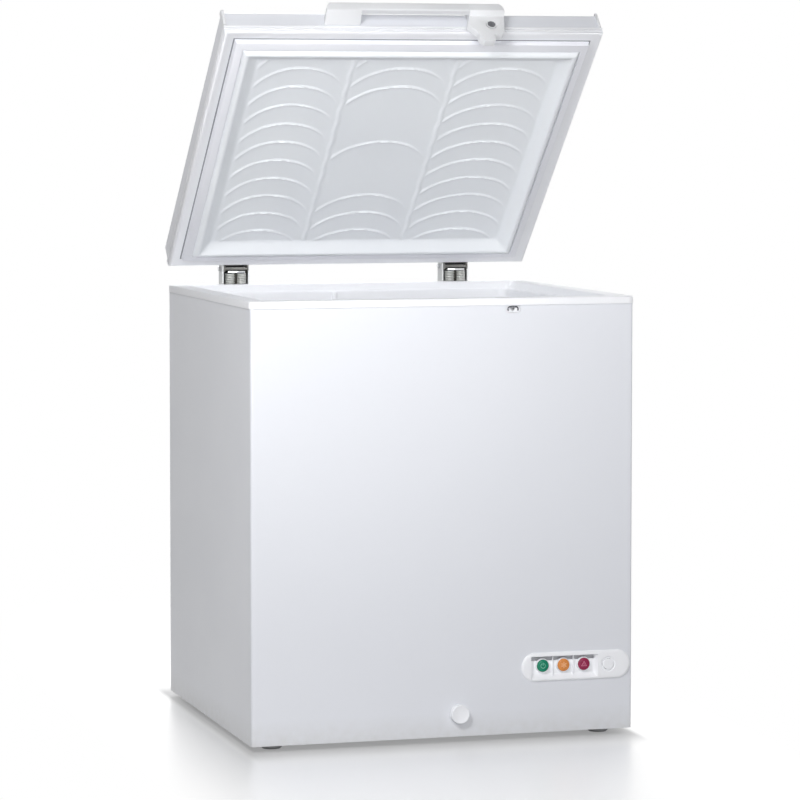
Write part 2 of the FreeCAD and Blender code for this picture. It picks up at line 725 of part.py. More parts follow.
def lamp_profile():
    """Lens and barrel of a panel lamp; height 0 is the bezel window's face."""
    return [(0, "-lamp_body_depth"), ("lamp_body_radius", "-lamp_body_depth"), ("lamp_body_radius", "-2"),
            ("lamp_radius", "-2"), ("lamp_radius", "lamp_proud * 0.4"), ("lamp_radius * 0.7", "lamp_proud"),
            (0, "lamp_proud * 1.15")]


def make_lamps():
    """Two panel lamps and the lit quick-freeze button between them."""
    face = FRONT + " - bezel_proud + window_depth"
    for node, x in (("power_lamp", "power_lamp_x"), ("alarm_lamp", "alarm_lamp_x")):
        keep(turned(node + "_body", lamp_profile(), (x, face, "lamp_z"), "-y"), node)
    button = turned("button_body", [
        (0, "-bezel_proud"), ("lamp_radius", "-bezel_proud"), ("lamp_radius", "lamp_proud * 0.4 + 1"),
        ("lamp_radius * 0.7", "lamp_proud + 1"), (0, "lamp_proud * 1.15 + 1")],
        ("quick_freeze_x", face, "lamp_z"), "-y")
    keep(button, "quick_freeze_button")
    switch = turned("switch_body", [
        (0, "-lamp_body_depth"), ("lamp_body_radius", "-lamp_body_depth"),
        ("lamp_body_radius", "-bezel_proud - button_travel - fit_gap"),
        (0, "-bezel_proud - button_travel - fit_gap")], ("quick_freeze_x", face, "lamp_z"), "-y")
    keep(switch, "quick_freeze_switch")


def make_lamp_board():
    """The circuit board that carries the lamps and the switch, held in the tub's walls."""
    back = FRONT + " - bezel_proud + window_depth + lamp_body_depth + fit_gap"
    board = box("board", ("power_lamp_x - lamp_radius - 3", "alarm_lamp_x + lamp_radius + 3"),
                (back, back + " + board_gauge"),
                ("bezel_z - control_box_height / 2 + control_box_wall + fit_gap",
                 "bezel_z + control_box_height / 2 - control_box_wall - fit_gap"))
    keep(board, "lamp_board")


def make_thermostat():
    """The coin-slot knob nearly flush with the panel and the control behind it."""
    face = FRONT + " - bezel_proud"
    knob = turned("knob_body", [
        (0, "-knob_depth"), ("knob_radius - 3", "-knob_depth"), ("knob_radius - 3", "-3"),
        ("knob_radius", "-3"),
        ("knob_radius", "knob_proud - 0.6"), ("knob_radius - 0.8", "knob_proud"), (0, "knob_proud")],
        ("knob_x", face, "knob_z"), "-y")
    slot = box("knob_slot", ("knob_x - knob_radius * 0.75", "knob_x + knob_radius * 0.75"),
               (face + " - knob_proud - cut_past", face + " - knob_proud + knob_slot_depth"),
               ("knob_z - knob_slot_width / 2", "knob_z + knob_slot_width / 2"))
    bore = rod("knob_bore", "thermostat_shaft_radius + fit_gap", ("knob_x", face + " + 4", "knob_z"),
               "knob_depth", "y")
    keep(cut("knob", knob, slot, bore), "thermostat_knob")
    shaft = rod("thermostat_shaft", "thermostat_shaft_radius",
                ("knob_x", face + " + 4 + fit_gap", "knob_z"), "knob_depth - 3", "y")
    body = box("thermostat_case", ("knob_x - thermostat_width / 2", "knob_x + thermostat_width / 2"),
               (face + " + knob_depth + fit_gap", face + " + knob_depth + thermostat_depth"),
               ("knob_z - thermostat_height / 2", "knob_z + thermostat_height / 2"))
    keep(fuse("thermostat_whole", shaft, body), "thermostat_body")


def make_control_box():
    """The moulded tub behind the panel that holds the lamps and the thermostat."""
    depth = "control_box_depth"
    half_width = "bezel_width / 2 - bezel_skirt - 2 * fit_gap"
    outside = stadium("tub_outside", half_width, "control_box_height / 2", "bezel_x", "bezel_z",
                      FRONT, depth)
    inside = stadium("tub_inside", half_width + " - control_box_wall",
                     "control_box_height / 2 - control_box_wall", "bezel_x", "bezel_z",
                     FRONT + " - cut_past", depth + " + cut_past - control_box_wall")
    keep(cut("tub", outside, inside), "control_box")


# Drain
def make_drain():
    """The drain's pipe, its cap on the front and the plug in the floor of the well."""
    low = "drain_z - drain_sump_bore - 2 * drain_tube_wall"
    run = rod("drain_run", "drain_bore + drain_tube_wall", ("drain_x", FRONT, "drain_z"),
              "%s + drain_sump_y" % HALF_Y, "y")
    riser = rod("drain_riser", "drain_sump_bore + drain_tube_wall", ("drain_x", "drain_sump_y", low),
                "%s - liner_gauge - fit_gap - (%s)" % (WELL_FLOOR, low))
    run_bore = rod("drain_run_bore", "drain_bore", ("drain_x", FRONT + " - 1", "drain_z"),
                   "%s + 1 + drain_sump_y" % HALF_Y, "y")
    riser_bore = rod("drain_riser_bore", "drain_sump_bore",
                     ("drain_x", "drain_sump_y", low + " + drain_tube_wall"), "200")
    keep(cut("drain_pipe", fuse("drain_solid", run, riser), run_bore, riser_bore), "drain_tube")
    cap = turned("drain_cap_body", [
        (0, "-drain_stem_length"), ("drain_bore - fit_gap", "-drain_stem_length"),
        ("drain_bore - fit_gap", "fit_gap"), ("drain_cap_radius", "fit_gap"),
        ("drain_cap_radius", "drain_cap_proud - drain_cap_rim"),
        ("drain_cap_radius - 1", "drain_cap_proud - 1"), ("drain_cap_radius - 3", "drain_cap_proud"),
        (0, "drain_cap_proud")], ("drain_x", FRONT, "drain_z"), "-y")
    keep(cap, "drain_cap")
    plug = turned("drain_plug_body", [
        (0, "-drain_plug_height"), ("drain_sump_bore - fit_gap", "-drain_plug_height"),
        ("drain_sump_bore - fit_gap", "fit_gap"), ("drain_plug_radius", "fit_gap"),
        ("drain_plug_radius", "drain_plug_height * 0.6"), ("drain_plug_radius * 0.6", "drain_plug_height"),
        (0, "drain_plug_height")], ("drain_x", "drain_sump_y", WELL_FLOOR))
    keep(plug, "drain_plug")


# Machine compartment
def make_bulkhead():
    """The bent sheet between the insulation and the compressor."""
    side = box("bulkhead_side", (COMPARTMENT_X + " - bulkhead_gauge", COMPARTMENT_X),
               ("-" + HALF_Y + " + wrap_gauge + fit_gap", HALF_Y + " - panel_gauge - fit_gap"),
               ("foot_gap + tray_gauge", "compartment_top + bulkhead_gauge"))
    roof = box("bulkhead_roof", (COMPARTMENT_X + " - bulkhead_gauge", WRAP_INSIDE),
               ("-" + HALF_Y + " + wrap_gauge + fit_gap", HALF_Y + " - panel_gauge - fit_gap"),
               ("compartment_top", "compartment_top + bulkhead_gauge"))
    rounded = round_edges("bulkhead_rounded", roof, "wrap_corner", lambda edge: (
        runs_along(edge, "z") and edge.CenterOfMass.y < 0 and edge.CenterOfMass.x > value(HALF_X) - 5))
    keep(fuse("bulkhead", side, rounded), "machine_bulkhead")


def make_side_grille():
    """The slotted vent in the right side, with a border that laps the sheet."""
    face = (HALF_X, HALF_X + " + grille_proud")
    plate = box("grille_plate", face, ("grille_y - grille_length / 2", "grille_y + grille_length / 2"),
                ("grille_z - grille_height / 2", "grille_z + grille_height / 2"))
    outer = value(HALF_X) + value("grille_proud") - 0.01
    softened = round_edges("grille_softened", plate, "grille_proud * 0.6",
                           lambda edge: edge.CenterOfMass.x > outer)
    pitch = "(grille_height - 2 * rear_cover_margin) / grille_slots"
    lowest = "grille_z - grille_height / 2 + rear_cover_margin + (%s - grille_slot_height) / 2" % pitch
    slots = slot_row("grille_slot", "grille_slots",
                     (HALF_X + " - 1", HALF_X + " + grille_proud + 1"),
                     ("grille_y - grille_length / 2 + 2 * rear_cover_margin",
                      "grille_y + grille_length / 2 - 2 * rear_cover_margin"),
                     lowest, pitch, "grille_slot_height")
    keep(cut("grille", softened, *slots), "side_grille")


def make_compressor():
    """A hermetic shell on two ears, its grommets, rails, starter and dryer."""
    low = "foot_gap + tray_gauge + rail_height + grommet_height"
    shell = turned("shell_body", [
        (0, 0), ("compressor_radius * 0.62", 0), ("compressor_radius * 0.9", "compressor_height * 0.12"),
        ("compressor_radius - 2", "compressor_height * 0.28"),
        ("compressor_radius - 2", "compressor_height * 0.5"),
        ("compressor_radius", "compressor_height * 0.5"),
        ("compressor_radius", "compressor_height * 0.54"),
        ("compressor_radius - 2", "compressor_height * 0.54"),
        ("compressor_radius - 3", "compressor_height * 0.74"),
        ("compressor_radius * 0.82", "compressor_height * 0.9"),
        ("compressor_radius * 0.5", "compressor_height"),
        (0, "compressor_height")], ("compressor_x", "compressor_y", low))
    ears = box("compressor_ears", ("compressor_x - compressor_foot_spread_x - 10",
                                   "compressor_x + compressor_foot_spread_x + 10"),
               ("compressor_y - compressor_foot_spread_y - 14",
                "compressor_y + compressor_foot_spread_y + 14"),
               (low, low + " + 3"))
    corners = [(side, end) for side in (-1, 1) for end in (-1, 1)]
    holes = []
    grommets = []
    for index, (side, end) in enumerate(corners):
        x = "compressor_x + %d * compressor_foot_spread_x" % side
        y = "compressor_y + %d * compressor_foot_spread_y" % end
        holes.append(rod("ear_hole_%d" % index, "grommet_radius * 0.6", (x, y, low + " - 1"), 6))
        outer = rod("grommet_%d" % index, "grommet_radius", (x, y, low + " - grommet_height"),
                    "grommet_height - fit_gap")
        neck = rod("grommet_neck_%d" % index, "grommet_radius * 0.6 - fit_gap",
                   (x, y, low + " - grommet_height"), "grommet_height + 6")
        grommets.append(fuse("grommet_whole_%d" % index, outer, neck))
    keep(cut("compressor_shell", fuse("compressor_solid", shell, ears), *holes), "compressor")
    keep(fuse("grommet_set", *grommets), "compressor_grommets")
    rails = []
    front = "compressor_y - 2 * compressor_foot_spread_y"
    back = "compressor_y + 2 * compressor_foot_spread_y"
    for index, side in enumerate((-1, 1)):
        x = "compressor_x + %d * compressor_foot_spread_x" % side
        web = box("rail_%d" % index, (x + " - rail_width / 2", x + " + rail_width / 2"), (front, back),
                  ("foot_gap + tray_gauge", "foot_gap + tray_gauge + rail_height"))
        hollow = box("rail_hollow_%d" % index,
                     (x + " - rail_width / 2 + rail_gauge", x + " + rail_width / 2 - rail_gauge"),
                     (front + " - cut_past", back + " + cut_past"),
                     ("foot_gap + tray_gauge - cut_past",
                      "foot_gap + tray_gauge + rail_height - rail_gauge"))
        rails.append(cut("rail_channel_%d" % index, web, hollow))
    keep(fuse("rail_set", *rails), "compressor_rails")
    starter = box("starter_case",
                  ("compressor_x - compressor_radius - 26", "compressor_x - compressor_radius + 12"),
                  ("compressor_y - 30", "compressor_y + 30"),
                  (low + " + compressor_height * 0.3", low + " + compressor_height * 0.72"))
    recess = rod("starter_recess", "compressor_radius + fit_gap", ("compressor_x", "compressor_y", low),
                 "compressor_height")
    rounded = round_edges("starter_rounded", starter, 5, lambda edge: (
        runs_along(edge, "z") and edge.CenterOfMass.x < value("compressor_x - compressor_radius")))
    keep(cut("starter", rounded, recess), "start_relay")
    drier = turned("drier_body", [
        (0, 0), ("tube_radius", 0), ("tube_radius", 8), ("drier_radius", 22),
        ("drier_radius", "drier_length - 22"), ("tube_radius", "drier_length - 8"),
        ("tube_radius", "drier_length"), (0, "drier_length")],
        ("compressor_x - 10", "compressor_y - 2 * compressor_radius", low), "z")
    keep(drier, "filter_drier")


def tube_along(name, corners, bend):
    """A round tube along straight runs joined by arcs of one radius."""
    edges = []
    start = corners[0]
    for index in range(1, len(corners) - 1):
        corner = corners[index]
        back = (corners[index - 1] - corner).normalize()
        ahead = (corners[index + 1] - corner).normalize()
        half = back.getAngle(ahead) / 2
        trim = bend / math.tan(half)
        enter = corner + back * trim
        leave = corner + ahead * trim
        middle = corner + (back + ahead).normalize() * (bend / math.sin(half) - bend)
        edges.append(Part.LineSegment(start, enter).toShape())
        edges.append(Part.Arc(enter, middle, leave).toShape())
        start = leave
    edges.append(Part.LineSegment(start, corners[-1]).toShape())
    path = Part.Wire(edges)
    heading = (corners[1] - corners[0]).normalize()
    section = Part.Wire([Part.Circle(corners[0], heading, value("tube_radius")).toShape()])
    tube = doc.addObject("Part::Feature", name)
    tube.Shape = path.makePipeShell([section], True, False)
    return tube


def make_refrigerant_tubes():
    """The suction and discharge lines from the shell up through the compartment roof."""
    low = value("foot_gap + tray_gauge + rail_height + grommet_height")
    x = value("compressor_x")
    y = value("compressor_y - compressor_radius")
    roof = value("compartment_top - fit_gap")
    mouth = y + value("fit_gap") - 1.5
    lines = []
    for index, (side, height, reach) in enumerate(((-26, 50, 26), (30, 66, 40))):
        nearest = abs(side) - value("tube_radius")
        depth = math.sqrt(value("compressor_radius - 2") ** 2 - nearest ** 2)
        begin = value("compressor_y - fit_gap") - depth
        corners = [FreeCAD.Vector(x + side, begin, low + height),
                   FreeCAD.Vector(x + side, mouth - reach, low + height),
                   FreeCAD.Vector(x + side, mouth - reach, roof)]
        lines.append(tube_along("tube_line_%d" % index, corners, 14))
    drier_x = value("compressor_x - 10")
    drier_y = value("compressor_y - 2 * compressor_radius")
    top = low + value("drier_length + fit_gap")
    lines.append(tube_along("tube_line_2", [
        FreeCAD.Vector(drier_x, drier_y, top), FreeCAD.Vector(drier_x, drier_y, top + 30),
        FreeCAD.Vector(drier_x - 40, drier_y, top + 30), FreeCAD.Vector(drier_x - 40, drier_y, roof)], 10))
    keep(fuse("tube_set", *lines), "refrigerant_tubes")


# Lid
def lid_ring(name, outset, z, extra=0):
    """A block over the lid's plan, smaller all round by an outset."""
    return box(name, ("-%s + %s" % (RIM_X, outset), "%s - (%s)" % (RIM_X, outset)),
               ("-%s + %s" % (RIM_Y, outset), "%s - (%s)" % (RIM_Y, outset)), z)


def make_lid_shell():
    """The pressed outer lid: flat top, side walls and softened edges."""
    block = lid_ring("lid_block", "0", (FRAME_TOP, LID_TOP))
    top = value(LID_TOP) - 0.01
    softened = round_edges("lid_softened", block, "lid_corner", lambda edge: (
        runs_along(edge, "z") or edge.CenterOfMass.z > top))
    hollow = lid_ring("lid_hollow", "lid_gauge", (FRAME_TOP + " - 1", LID_TOP + " - lid_gauge"))
    hollow_top = value(LID_TOP) - value("lid_gauge") - 0.01
    inside = round_edges("lid_inside", hollow, "lid_corner - lid_gauge", lambda edge: (
        runs_along(edge, "z") or edge.CenterOfMass.z > hollow_top))
    keep_on_lid(cut("lid_pan", softened, inside), "lid_shell")


def make_lid_frame():
    """The mitred plastic frame round the lid's lower edge, with two beads on its outside."""
    band = lid_ring("frame_band", "0", (LIP_Z, FRAME_TOP))
    beads = []
    for index, (low, high) in enumerate((("3", "8.2"), ("10", "15.2"))):
        beads.append(lid_ring("frame_bead_%d" % index, "-lid_bead_proud",
                              ("%s + %s" % (LIP_Z, low), "%s + %s" % (LIP_Z, high))))
    solid = fuse("frame_solid", band, *beads)
    doc.recompute()
    softened = round_edges("frame_softened", solid, "lid_bead_proud * 2",
                           lambda edge: runs_along(edge, "z"))
    opening = lid_ring("frame_opening", "lid_lip", (LIP_Z + " - 1", FRAME_TOP + " + 1"))
    keep_on_lid(cut("frame", softened, opening), "lid_frame")


def make_gasket():
    """The soft magnetic seal that stands below the frame, inside its groove."""
    low = LIP_Z + " - gasket_flank"
    face = LIP_Z + " - gasket_height"
    root = LIP_Z + " + panel_thickness"
    stem = lid_ring("gasket_stem", "gasket_outset", (LIP_Z, root))
    flank = frustum("gasket_flank_solid",
                    ("%s - gasket_outset - 2" % RIM_X, "%s - gasket_outset - 2" % RIM_Y, low),
                    ("%s - gasket_outset" % RIM_X, "%s - gasket_outset" % RIM_Y, LIP_Z))
    nose = frustum("gasket_nose",
                   ("%s - gasket_inset + 1" % RIM_X, "%s - gasket_inset + 1" % RIM_Y, face),
                   ("%s - gasket_outset - 2" % RIM_X, "%s - gasket_outset - 2" % RIM_Y, low))
    opening = lid_ring("gasket_opening", "gasket_inset", (face + " - 1", root + " + 1"))
    keep_on_lid(cut("gasket", fuse("gasket_solid", stem, flank, nose), opening), "lid_gasket")


def make_lid_liner():
    """The moulded inner panel inside its raised ridge."""
    start = "gasket_inset + fit_gap"
    foot = LIP_Z + " - gasket_height + 3"
    crest = LIP_Z + " - ridge_height"
    body = lid_ring("ridge_body", start, (foot, LIP_Z + " + panel_thickness"))
    slope = frustum("ridge_slope",
                    ("%s - ridge_crest" % RIM_X, "%s - ridge_crest" % RIM_Y, crest),
                    ("%s - (%s)" % (RIM_X, start), "%s - (%s)" % (RIM_Y, start), foot))
    pan = frustum("ridge_pan",
                  ("%s - ridge_crest - ridge_crest_width" % RIM_X,
                   "%s - ridge_crest - ridge_crest_width" % RIM_Y, crest),
                  ("%s - ridge_inner" % RIM_X, "%s - ridge_inner" % RIM_Y, LIP_Z))
    keep_on_lid(cut("lid_inner", fuse("ridge_solid", body, slope), pan), "lid_liner")


def make_lid_foam():
    """The foam that fills the lid between shell and liner."""
    upper = lid_ring("lid_foam_upper", "lid_gauge + fit_gap",
                     (FRAME_TOP + " + fit_gap", LID_TOP + " - lid_gauge - fit_gap"))
    ceiling = value(LID_TOP) - value("lid_gauge + fit_gap") - 0.01
    rounded = round_edges("lid_foam_rounded", upper, "lid_corner", lambda edge: (
        runs_along(edge, "z") or edge.CenterOfMass.z > ceiling))
    lower = lid_ring("lid_foam_lower", "lid_lip + fit_gap",
                     (LIP_Z + " + panel_thickness + fit_gap", FRAME_TOP + " + fit_gap"))
    keep_on_lid(fuse("lid_filling", rounded, lower), "lid_foam")


def make_corner_caps():
    """Two thin moulded caps that hug the lid's front corners."""
    shell = lid_ring("cap_core", "0", (FRAME_TOP + " - 1", LID_TOP))
    core = round_edges("cap_core_rounded", shell, "lid_corner", lambda edge: runs_along(edge, "z"))
    for side, node in ((-1, "lid_cap_left"), (1, "lid_cap_right")):
        inner = "%d * (%s - cap_reach)" % (side, RIM_X)
        outer = "%d * (%s + cap_skin)" % (side, RIM_X)
        span = (inner, outer) if side > 0 else (outer, inner)
        block = box(node + "_block", span, (LID_FRONT + " - cap_skin", LID_FRONT + " + cap_reach"),
                    (FRAME_TOP, LID_TOP + " + cap_rise"))
        limit = value(LID_FRONT)
        rounded = round_edges(node + "_rounded", block, "lid_corner + cap_skin", lambda edge: (
            runs_along(edge, "z") and edge.CenterOfMass.y < limit
            and abs(edge.CenterOfMass.x) > value(RIM_X)))
        keep_on_lid(cut(node + "_skin", rounded, core), node)


# Handle and lock
def lid_front_profile(name, corners, left, right):
    """A bar along X whose section is given as (distance in front of the lid, height) corners."""
    body = new_body(name)
    points = [("%s - (%s)" % (LID_FRONT, proud), height) for proud, height in corners]
    profile = outline(body, name + "_section", "YZ_Plane", points, left)
    pad(body, profile, "(%s) - (%s)" % (right, left))
    return body


def silhouette(name, corners):
    """A slab in front of the lid with the given (X, Z) outline."""
    body = new_body(name)
    profile = outline(body, name + "_outline", "XZ_Plane", corners, "%s - 2" % HALF_Y)
    pad(body, profile, "handle_proud + 20")
    doc.recompute()
    return body


def make_handle():
    """The grip bar and its left end block, moulded in one."""
    top = LID_TOP
    root = LID_TOP + " - handle_root_drop"
    block = lid_front_profile("handle_block", [
        ("fit_gap", root), ("handle_proud - 1", top + " - handle_bar_drop"), ("handle_proud", top + " - 3"),
        ("handle_proud - 3", top), ("fit_gap", top)], "handle_left", "handle_block_right")
    face = silhouette("handle_face", [
        ("handle_left", root), ("handle_left + 5", top), ("handle_block_right", top),
        ("handle_block_right", root + " - 1"), ("handle_left", root + " - 1")])
    corner = round_edges("handle_block_rounded", face, "handle_corner", lambda edge: (
        runs_along(edge, "y") and edge.CenterOfMass.z > value(top) - 0.01
        and edge.CenterOfMass.x < value("handle_left + handle_corner")))
    end_block = common("handle_end", block, corner)
    bar = lid_front_profile("handle_bar", [
        ("handle_proud - handle_bar_depth", top + " - handle_bar_drop + 2"),
        ("handle_proud - handle_bar_depth + 2", top + " - handle_bar_drop"),
        ("handle_proud - 2", top + " - handle_bar_drop"), ("handle_proud", top + " - handle_bar_drop + 2"),
        ("handle_proud", top + " - 3"), ("handle_proud - 3", top),
        ("handle_proud - handle_bar_depth + 1", top), ("handle_proud - handle_bar_depth", top + " - 1")],
        "handle_block_right", "lock_left - fit_gap")
    keep_on_lid(fuse("handle_whole", end_block, bar), "lid_handle")


def make_lock_housing():
    """The right end block: it carries the lock and reaches down over the keeper."""
    top = LID_TOP
    root = LID_TOP + " - handle_root_drop"
    section = lid_front_profile("lock_section", [
        ("fit_gap", root), ("tongue_back", root), ("tongue_back", "tongue_bottom - 1"),
        ("lock_face", "tongue_bottom - 1"), ("lock_face", top + " - handle_bar_drop - 4"),
        ("handle_proud - 2", top + " - handle_bar_drop"), ("handle_proud", top + " - handle_bar_drop + 2"),
        ("handle_proud", top + " - 3"), ("handle_proud - 3", top), ("fit_gap", top)],
        "tongue_left - 30", "lock_right + 10")
    face = silhouette("lock_outline", [
        ("lock_left", top), ("lock_right - 4", top), ("lock_right", top + " - handle_bar_drop"),
        ("lock_right - 8", "lock_bottom + 6"), ("lock_right - 14", "lock_bottom"),
        ("tongue_right", "lock_bottom"),
        ("tongue_right", "tongue_bottom + 3"), ("tongue_right - 3", "tongue_bottom"),
        ("tongue_left + 8", "tongue_bottom"), ("tongue_left", "tongue_bottom + 8"),
        ("tongue_left", "lock_bottom + 3"), ("lock_left - 8", "lock_z"),
        ("lock_left", top + " - handle_bar_drop")])
    rounded = round_edges("lock_outline_rounded", face, "handle_corner * 0.9", lambda edge: (
        runs_along(edge, "y") and edge.CenterOfMass.z > value(top) - 0.01
        and edge.CenterOfMass.x > value("lock_right - 20")))
    barrel = rod("lock_barrel_hole", "lock_barrel_radius + pin_clearance",
                 ("lock_x", "%s - tongue_back + 1" % LID_FRONT, "lock_z"), "40", "-y")
    dish = rod("lock_dish", "lock_flange_radius + fit_gap",
               ("lock_x", "%s - lock_face + 2.5" % LID_FRONT, "lock_z"), "30", "-y")
    bolt = rod("lock_bolt_hole", "bolt_radius + pin_clearance",
               ("bolt_x", "%s - tongue_back + 1" % LID_FRONT, "bolt_z"), "bolt_length + 1 + fit_gap", "-y")
    solid = common("lock_solid", section, rounded)
    keep_on_lid(cut("lock_case", solid, barrel, dish, bolt), "lock_housing")


def make_lock():
    """The key barrel, which turns, and the bolt that it throws into the keeper."""
    back = "%s - tongue_back" % LID_FRONT
    barrel = rod("barrel", "lock_barrel_radius", ("lock_x", back, "lock_z"),
                 "lock_face - tongue_back - 2.5 + fit_gap", "-y")
    flange = rod("barrel_flange", "lock_flange_radius",
                 ("lock_x", "%s - lock_face + 2.5 - fit_gap" % LID_FRONT, "lock_z"), "2.5", "-y")
    slot = box("key_slot", ("lock_x - key_slot_width / 2", "lock_x + key_slot_width / 2"),
               ("%s - lock_face - 5" % LID_FRONT, "%s - lock_face + key_slot_depth" % LID_FRONT),
               ("lock_z - key_slot_length / 2", "lock_z + key_slot_length / 2"))
    keep_on_lid(cut("barrel_cut", fuse("barrel_solid", barrel, flange), slot), "lock_cylinder")
    pin = rod("bolt_pin", "bolt_radius", ("bolt_x", back, "bolt_z"), "bolt_length", "-y")
    fork = box("bolt_fork", ("bolt_x - key_slot_width / 2", "bolt_x + key_slot_width / 2"),
               ("%s - bolt_length - cut_past" % back, "%s - bolt_length + bolt_radius" % back),
               ("bolt_z - bolt_radius - cut_past", "bolt_z + bolt_radius + cut_past"))
    keep_on_lid(cut("bolt_forked", pin, fork), "lock_bolt")


def make_keeper():
    """The recess in the cabinet's front and the metal strike round its mouth."""
    cup = stadium("keeper_outside", "keeper_width / 2", "keeper_height / 2", "keeper_x", "keeper_z",
                  FRONT + " + wrap_gauge", "keeper_depth")
    hollow = stadium("keeper_inside", "keeper_width / 2 - keeper_wall", "keeper_height / 2 - keeper_wall",
                     "keeper_x", "keeper_z", FRONT + " - 1", "keeper_depth + wrap_gauge + 1 - keeper_wall")
    keep(cut("keeper_recess", cup, hollow), "keeper_cup")
    gauge = "strike_gauge"
    plate = box("strike_plate", ("keeper_x - strike_width / 2", "keeper_x + strike_width / 2"),
                (FRONT + " + 3", FRONT + " + 3 + " + gauge),
                ("keeper_z - strike_height / 2", "keeper_z + strike_height / 2"))
    hole = rod("strike_hole", "bolt_radius + 0.8", ("bolt_x", FRONT, "bolt_z"), "10", "y")
    keep(cut("strike", plate, hole), "lock_strike")


# Counterbalance hinges
def hinge_name(side, piece):
    return "hinge_%s_%s" % (piece, "left" if side < 0 else "right")


def make_hinge_base(side):
    """The channel screwed to the back: web, two flanges, ears and the spring's guide plate."""
    middle = "%d * hinge_x" % side
    name = hinge_name(side, "base")
    profile = [("%s + fit_gap" % HALF_Y, "hinge_bottom"), ("%s + hinge_web_back" % HALF_Y, "hinge_bottom"),
               ("%s + hinge_web_back" % HALF_Y, PIVOT_Z + " + hinge_top - hinge_neck"),
               ("%s + hinge_web_back - hinge_neck" % HALF_Y, PIVOT_Z + " + hinge_top"),
               ("%s + rim_overhang + hinge_front + hinge_neck" % HALF_Y, PIVOT_Z + " + hinge_top"),
               ("%s + rim_overhang + hinge_front" % HALF_Y, PIVOT_Z + " + hinge_top - hinge_neck"),
               ("%s + rim_overhang + hinge_front" % HALF_Y, "rim_top - rim_skirt - hinge_neck"),
               ("%s + fit_gap" % HALF_Y, "rim_top - rim_skirt - 2 * hinge_neck")]
    body = new_body(name + "_block")
    outer = outline(body, name + "_profile", "YZ_Plane", profile, "%s - hinge_width / 2" % middle)
    pad(body, outer, "hinge_width")
    inside = (middle + " - hinge_width / 2 + hinge_gauge", middle + " + hinge_width / 2 - hinge_gauge")
    hollow = box(name + "_hollow", inside,
                 (HALF_Y + " - cut_past", HALF_Y + " + hinge_web_back - hinge_gauge"),
                 ("hinge_bottom - cut_past", PIVOT_Z + " + hinge_top + cut_past"))
    holes = rod(name + "_pin_hole", "pin_radius + pin_clearance",
                (middle + " - hinge_width", PIVOT_Y, PIVOT_Z), "2 * hinge_width", "x")
    notch = box(name + "_notch", inside,
                (HALF_Y + " + hinge_web_back - hinge_gauge - cut_past",
                 HALF_Y + " + hinge_web_back + cut_past"),
                (PIVOT_Z + " - hinge_web_drop", PIVOT_Z + " + hinge_top + cut_past"))
    channel = cut(name + "_channel", body, hollow, notch, holes)
    ears = []
    screw_holes = []
    for hand in (-1, 1):
        inner = "%s + %d * (hinge_width / 2 - hinge_gauge)" % (middle, hand)
        outer_x = "%s + %d * (hinge_width / 2 + hinge_ear)" % (middle, hand)
        span = (inner, outer_x) if hand > 0 else (outer_x, inner)
        ears.append(box("%s_ear_%d" % (name, hand + 1), span,
                        ("%s + fit_gap" % HALF_Y, "%s + fit_gap + hinge_gauge" % HALF_Y),
                        ("hinge_bottom", "rim_top - rim_skirt - 2 * hinge_neck")))
        screw_x = "%s + %d * (hinge_width / 2 + hinge_ear / 2)" % (middle, hand)
        heights = ("hinge_bottom + hinge_screw_inset",
                   "rim_top - rim_skirt - 2 * hinge_neck - hinge_screw_inset")
        for index, height in enumerate(heights):
            screw_holes.append(rod("%s_screw_%d_%d" % (name, hand + 1, index), "hinge_screw_radius",
                                   (screw_x, HALF_Y, height), "fit_gap + hinge_gauge + cut_past", "y"))
    guide = box(name + "_guide", (middle + " - hinge_width / 2 + 1", middle + " + hinge_width / 2 - 1"),
                (HALF_Y + " + 2 * fit_gap", HALF_Y + " + hinge_web_back - 1"),
                (PIVOT_Z + " - guide_drop - guide_thickness", PIVOT_Z + " - guide_drop"))
    rod_hole = rod(name + "_rod_hole", "rod_radius + 2 * pin_clearance",
                   (middle, follower_y(), PIVOT_Z + " - guide_drop - 10"), 20)
    whole = fuse(name + "_whole", channel, guide, *ears)
    keep(cut(name + "_cut", whole, rod_hole, *screw_holes), name)


def follower_y():
    """The follower's middle lies under the crank pin's path."""
    return "(%s - crank_radius + 3)" % PIVOT_Y


def make_hinge_pin(side):
    """The headed pin through the channel's flanges."""
    middle = "%d * hinge_x" % side
    name = hinge_name(side, "pin")
    shaft = rod(name + "_shaft", "pin_radius",
                (middle + " - hinge_width / 2 - pin_overhang", PIVOT_Y, PIVOT_Z),
                "hinge_width + 2 * pin_overhang", "x")
    head = rod(name + "_head", "pin_radius + pin_head",
               (middle + " - hinge_width / 2 - pin_overhang - 1.5", PIVOT_Y, PIVOT_Z), "3", "x")
    keep(fuse(name + "_whole", shaft, head), name)


def make_hinge_bush(side):
    """The moulded spacer tube on the hinge pin, between the arms of the lid's leaf."""
    middle = "%d * hinge_x" % side
    name = hinge_name(side, "bush")
    half = "(hinge_width / 2 - hinge_gauge - leaf_gap - leaf_gauge - fit_gap)"
    start = ("%s - %s" % (middle, half), PIVOT_Y, PIVOT_Z)
    tube = rod(name + "_tube", "bush_radius", start, "2 * " + half, "x")
    past = ("%s - %s - cut_past" % (middle, half), PIVOT_Y, PIVOT_Z)
    bore = rod(name + "_bore", "pin_radius + pin_clearance", past, "2 * %s + 2 * cut_past" % half, "x")
    keep(cut(name + "_whole", tube, bore), name)


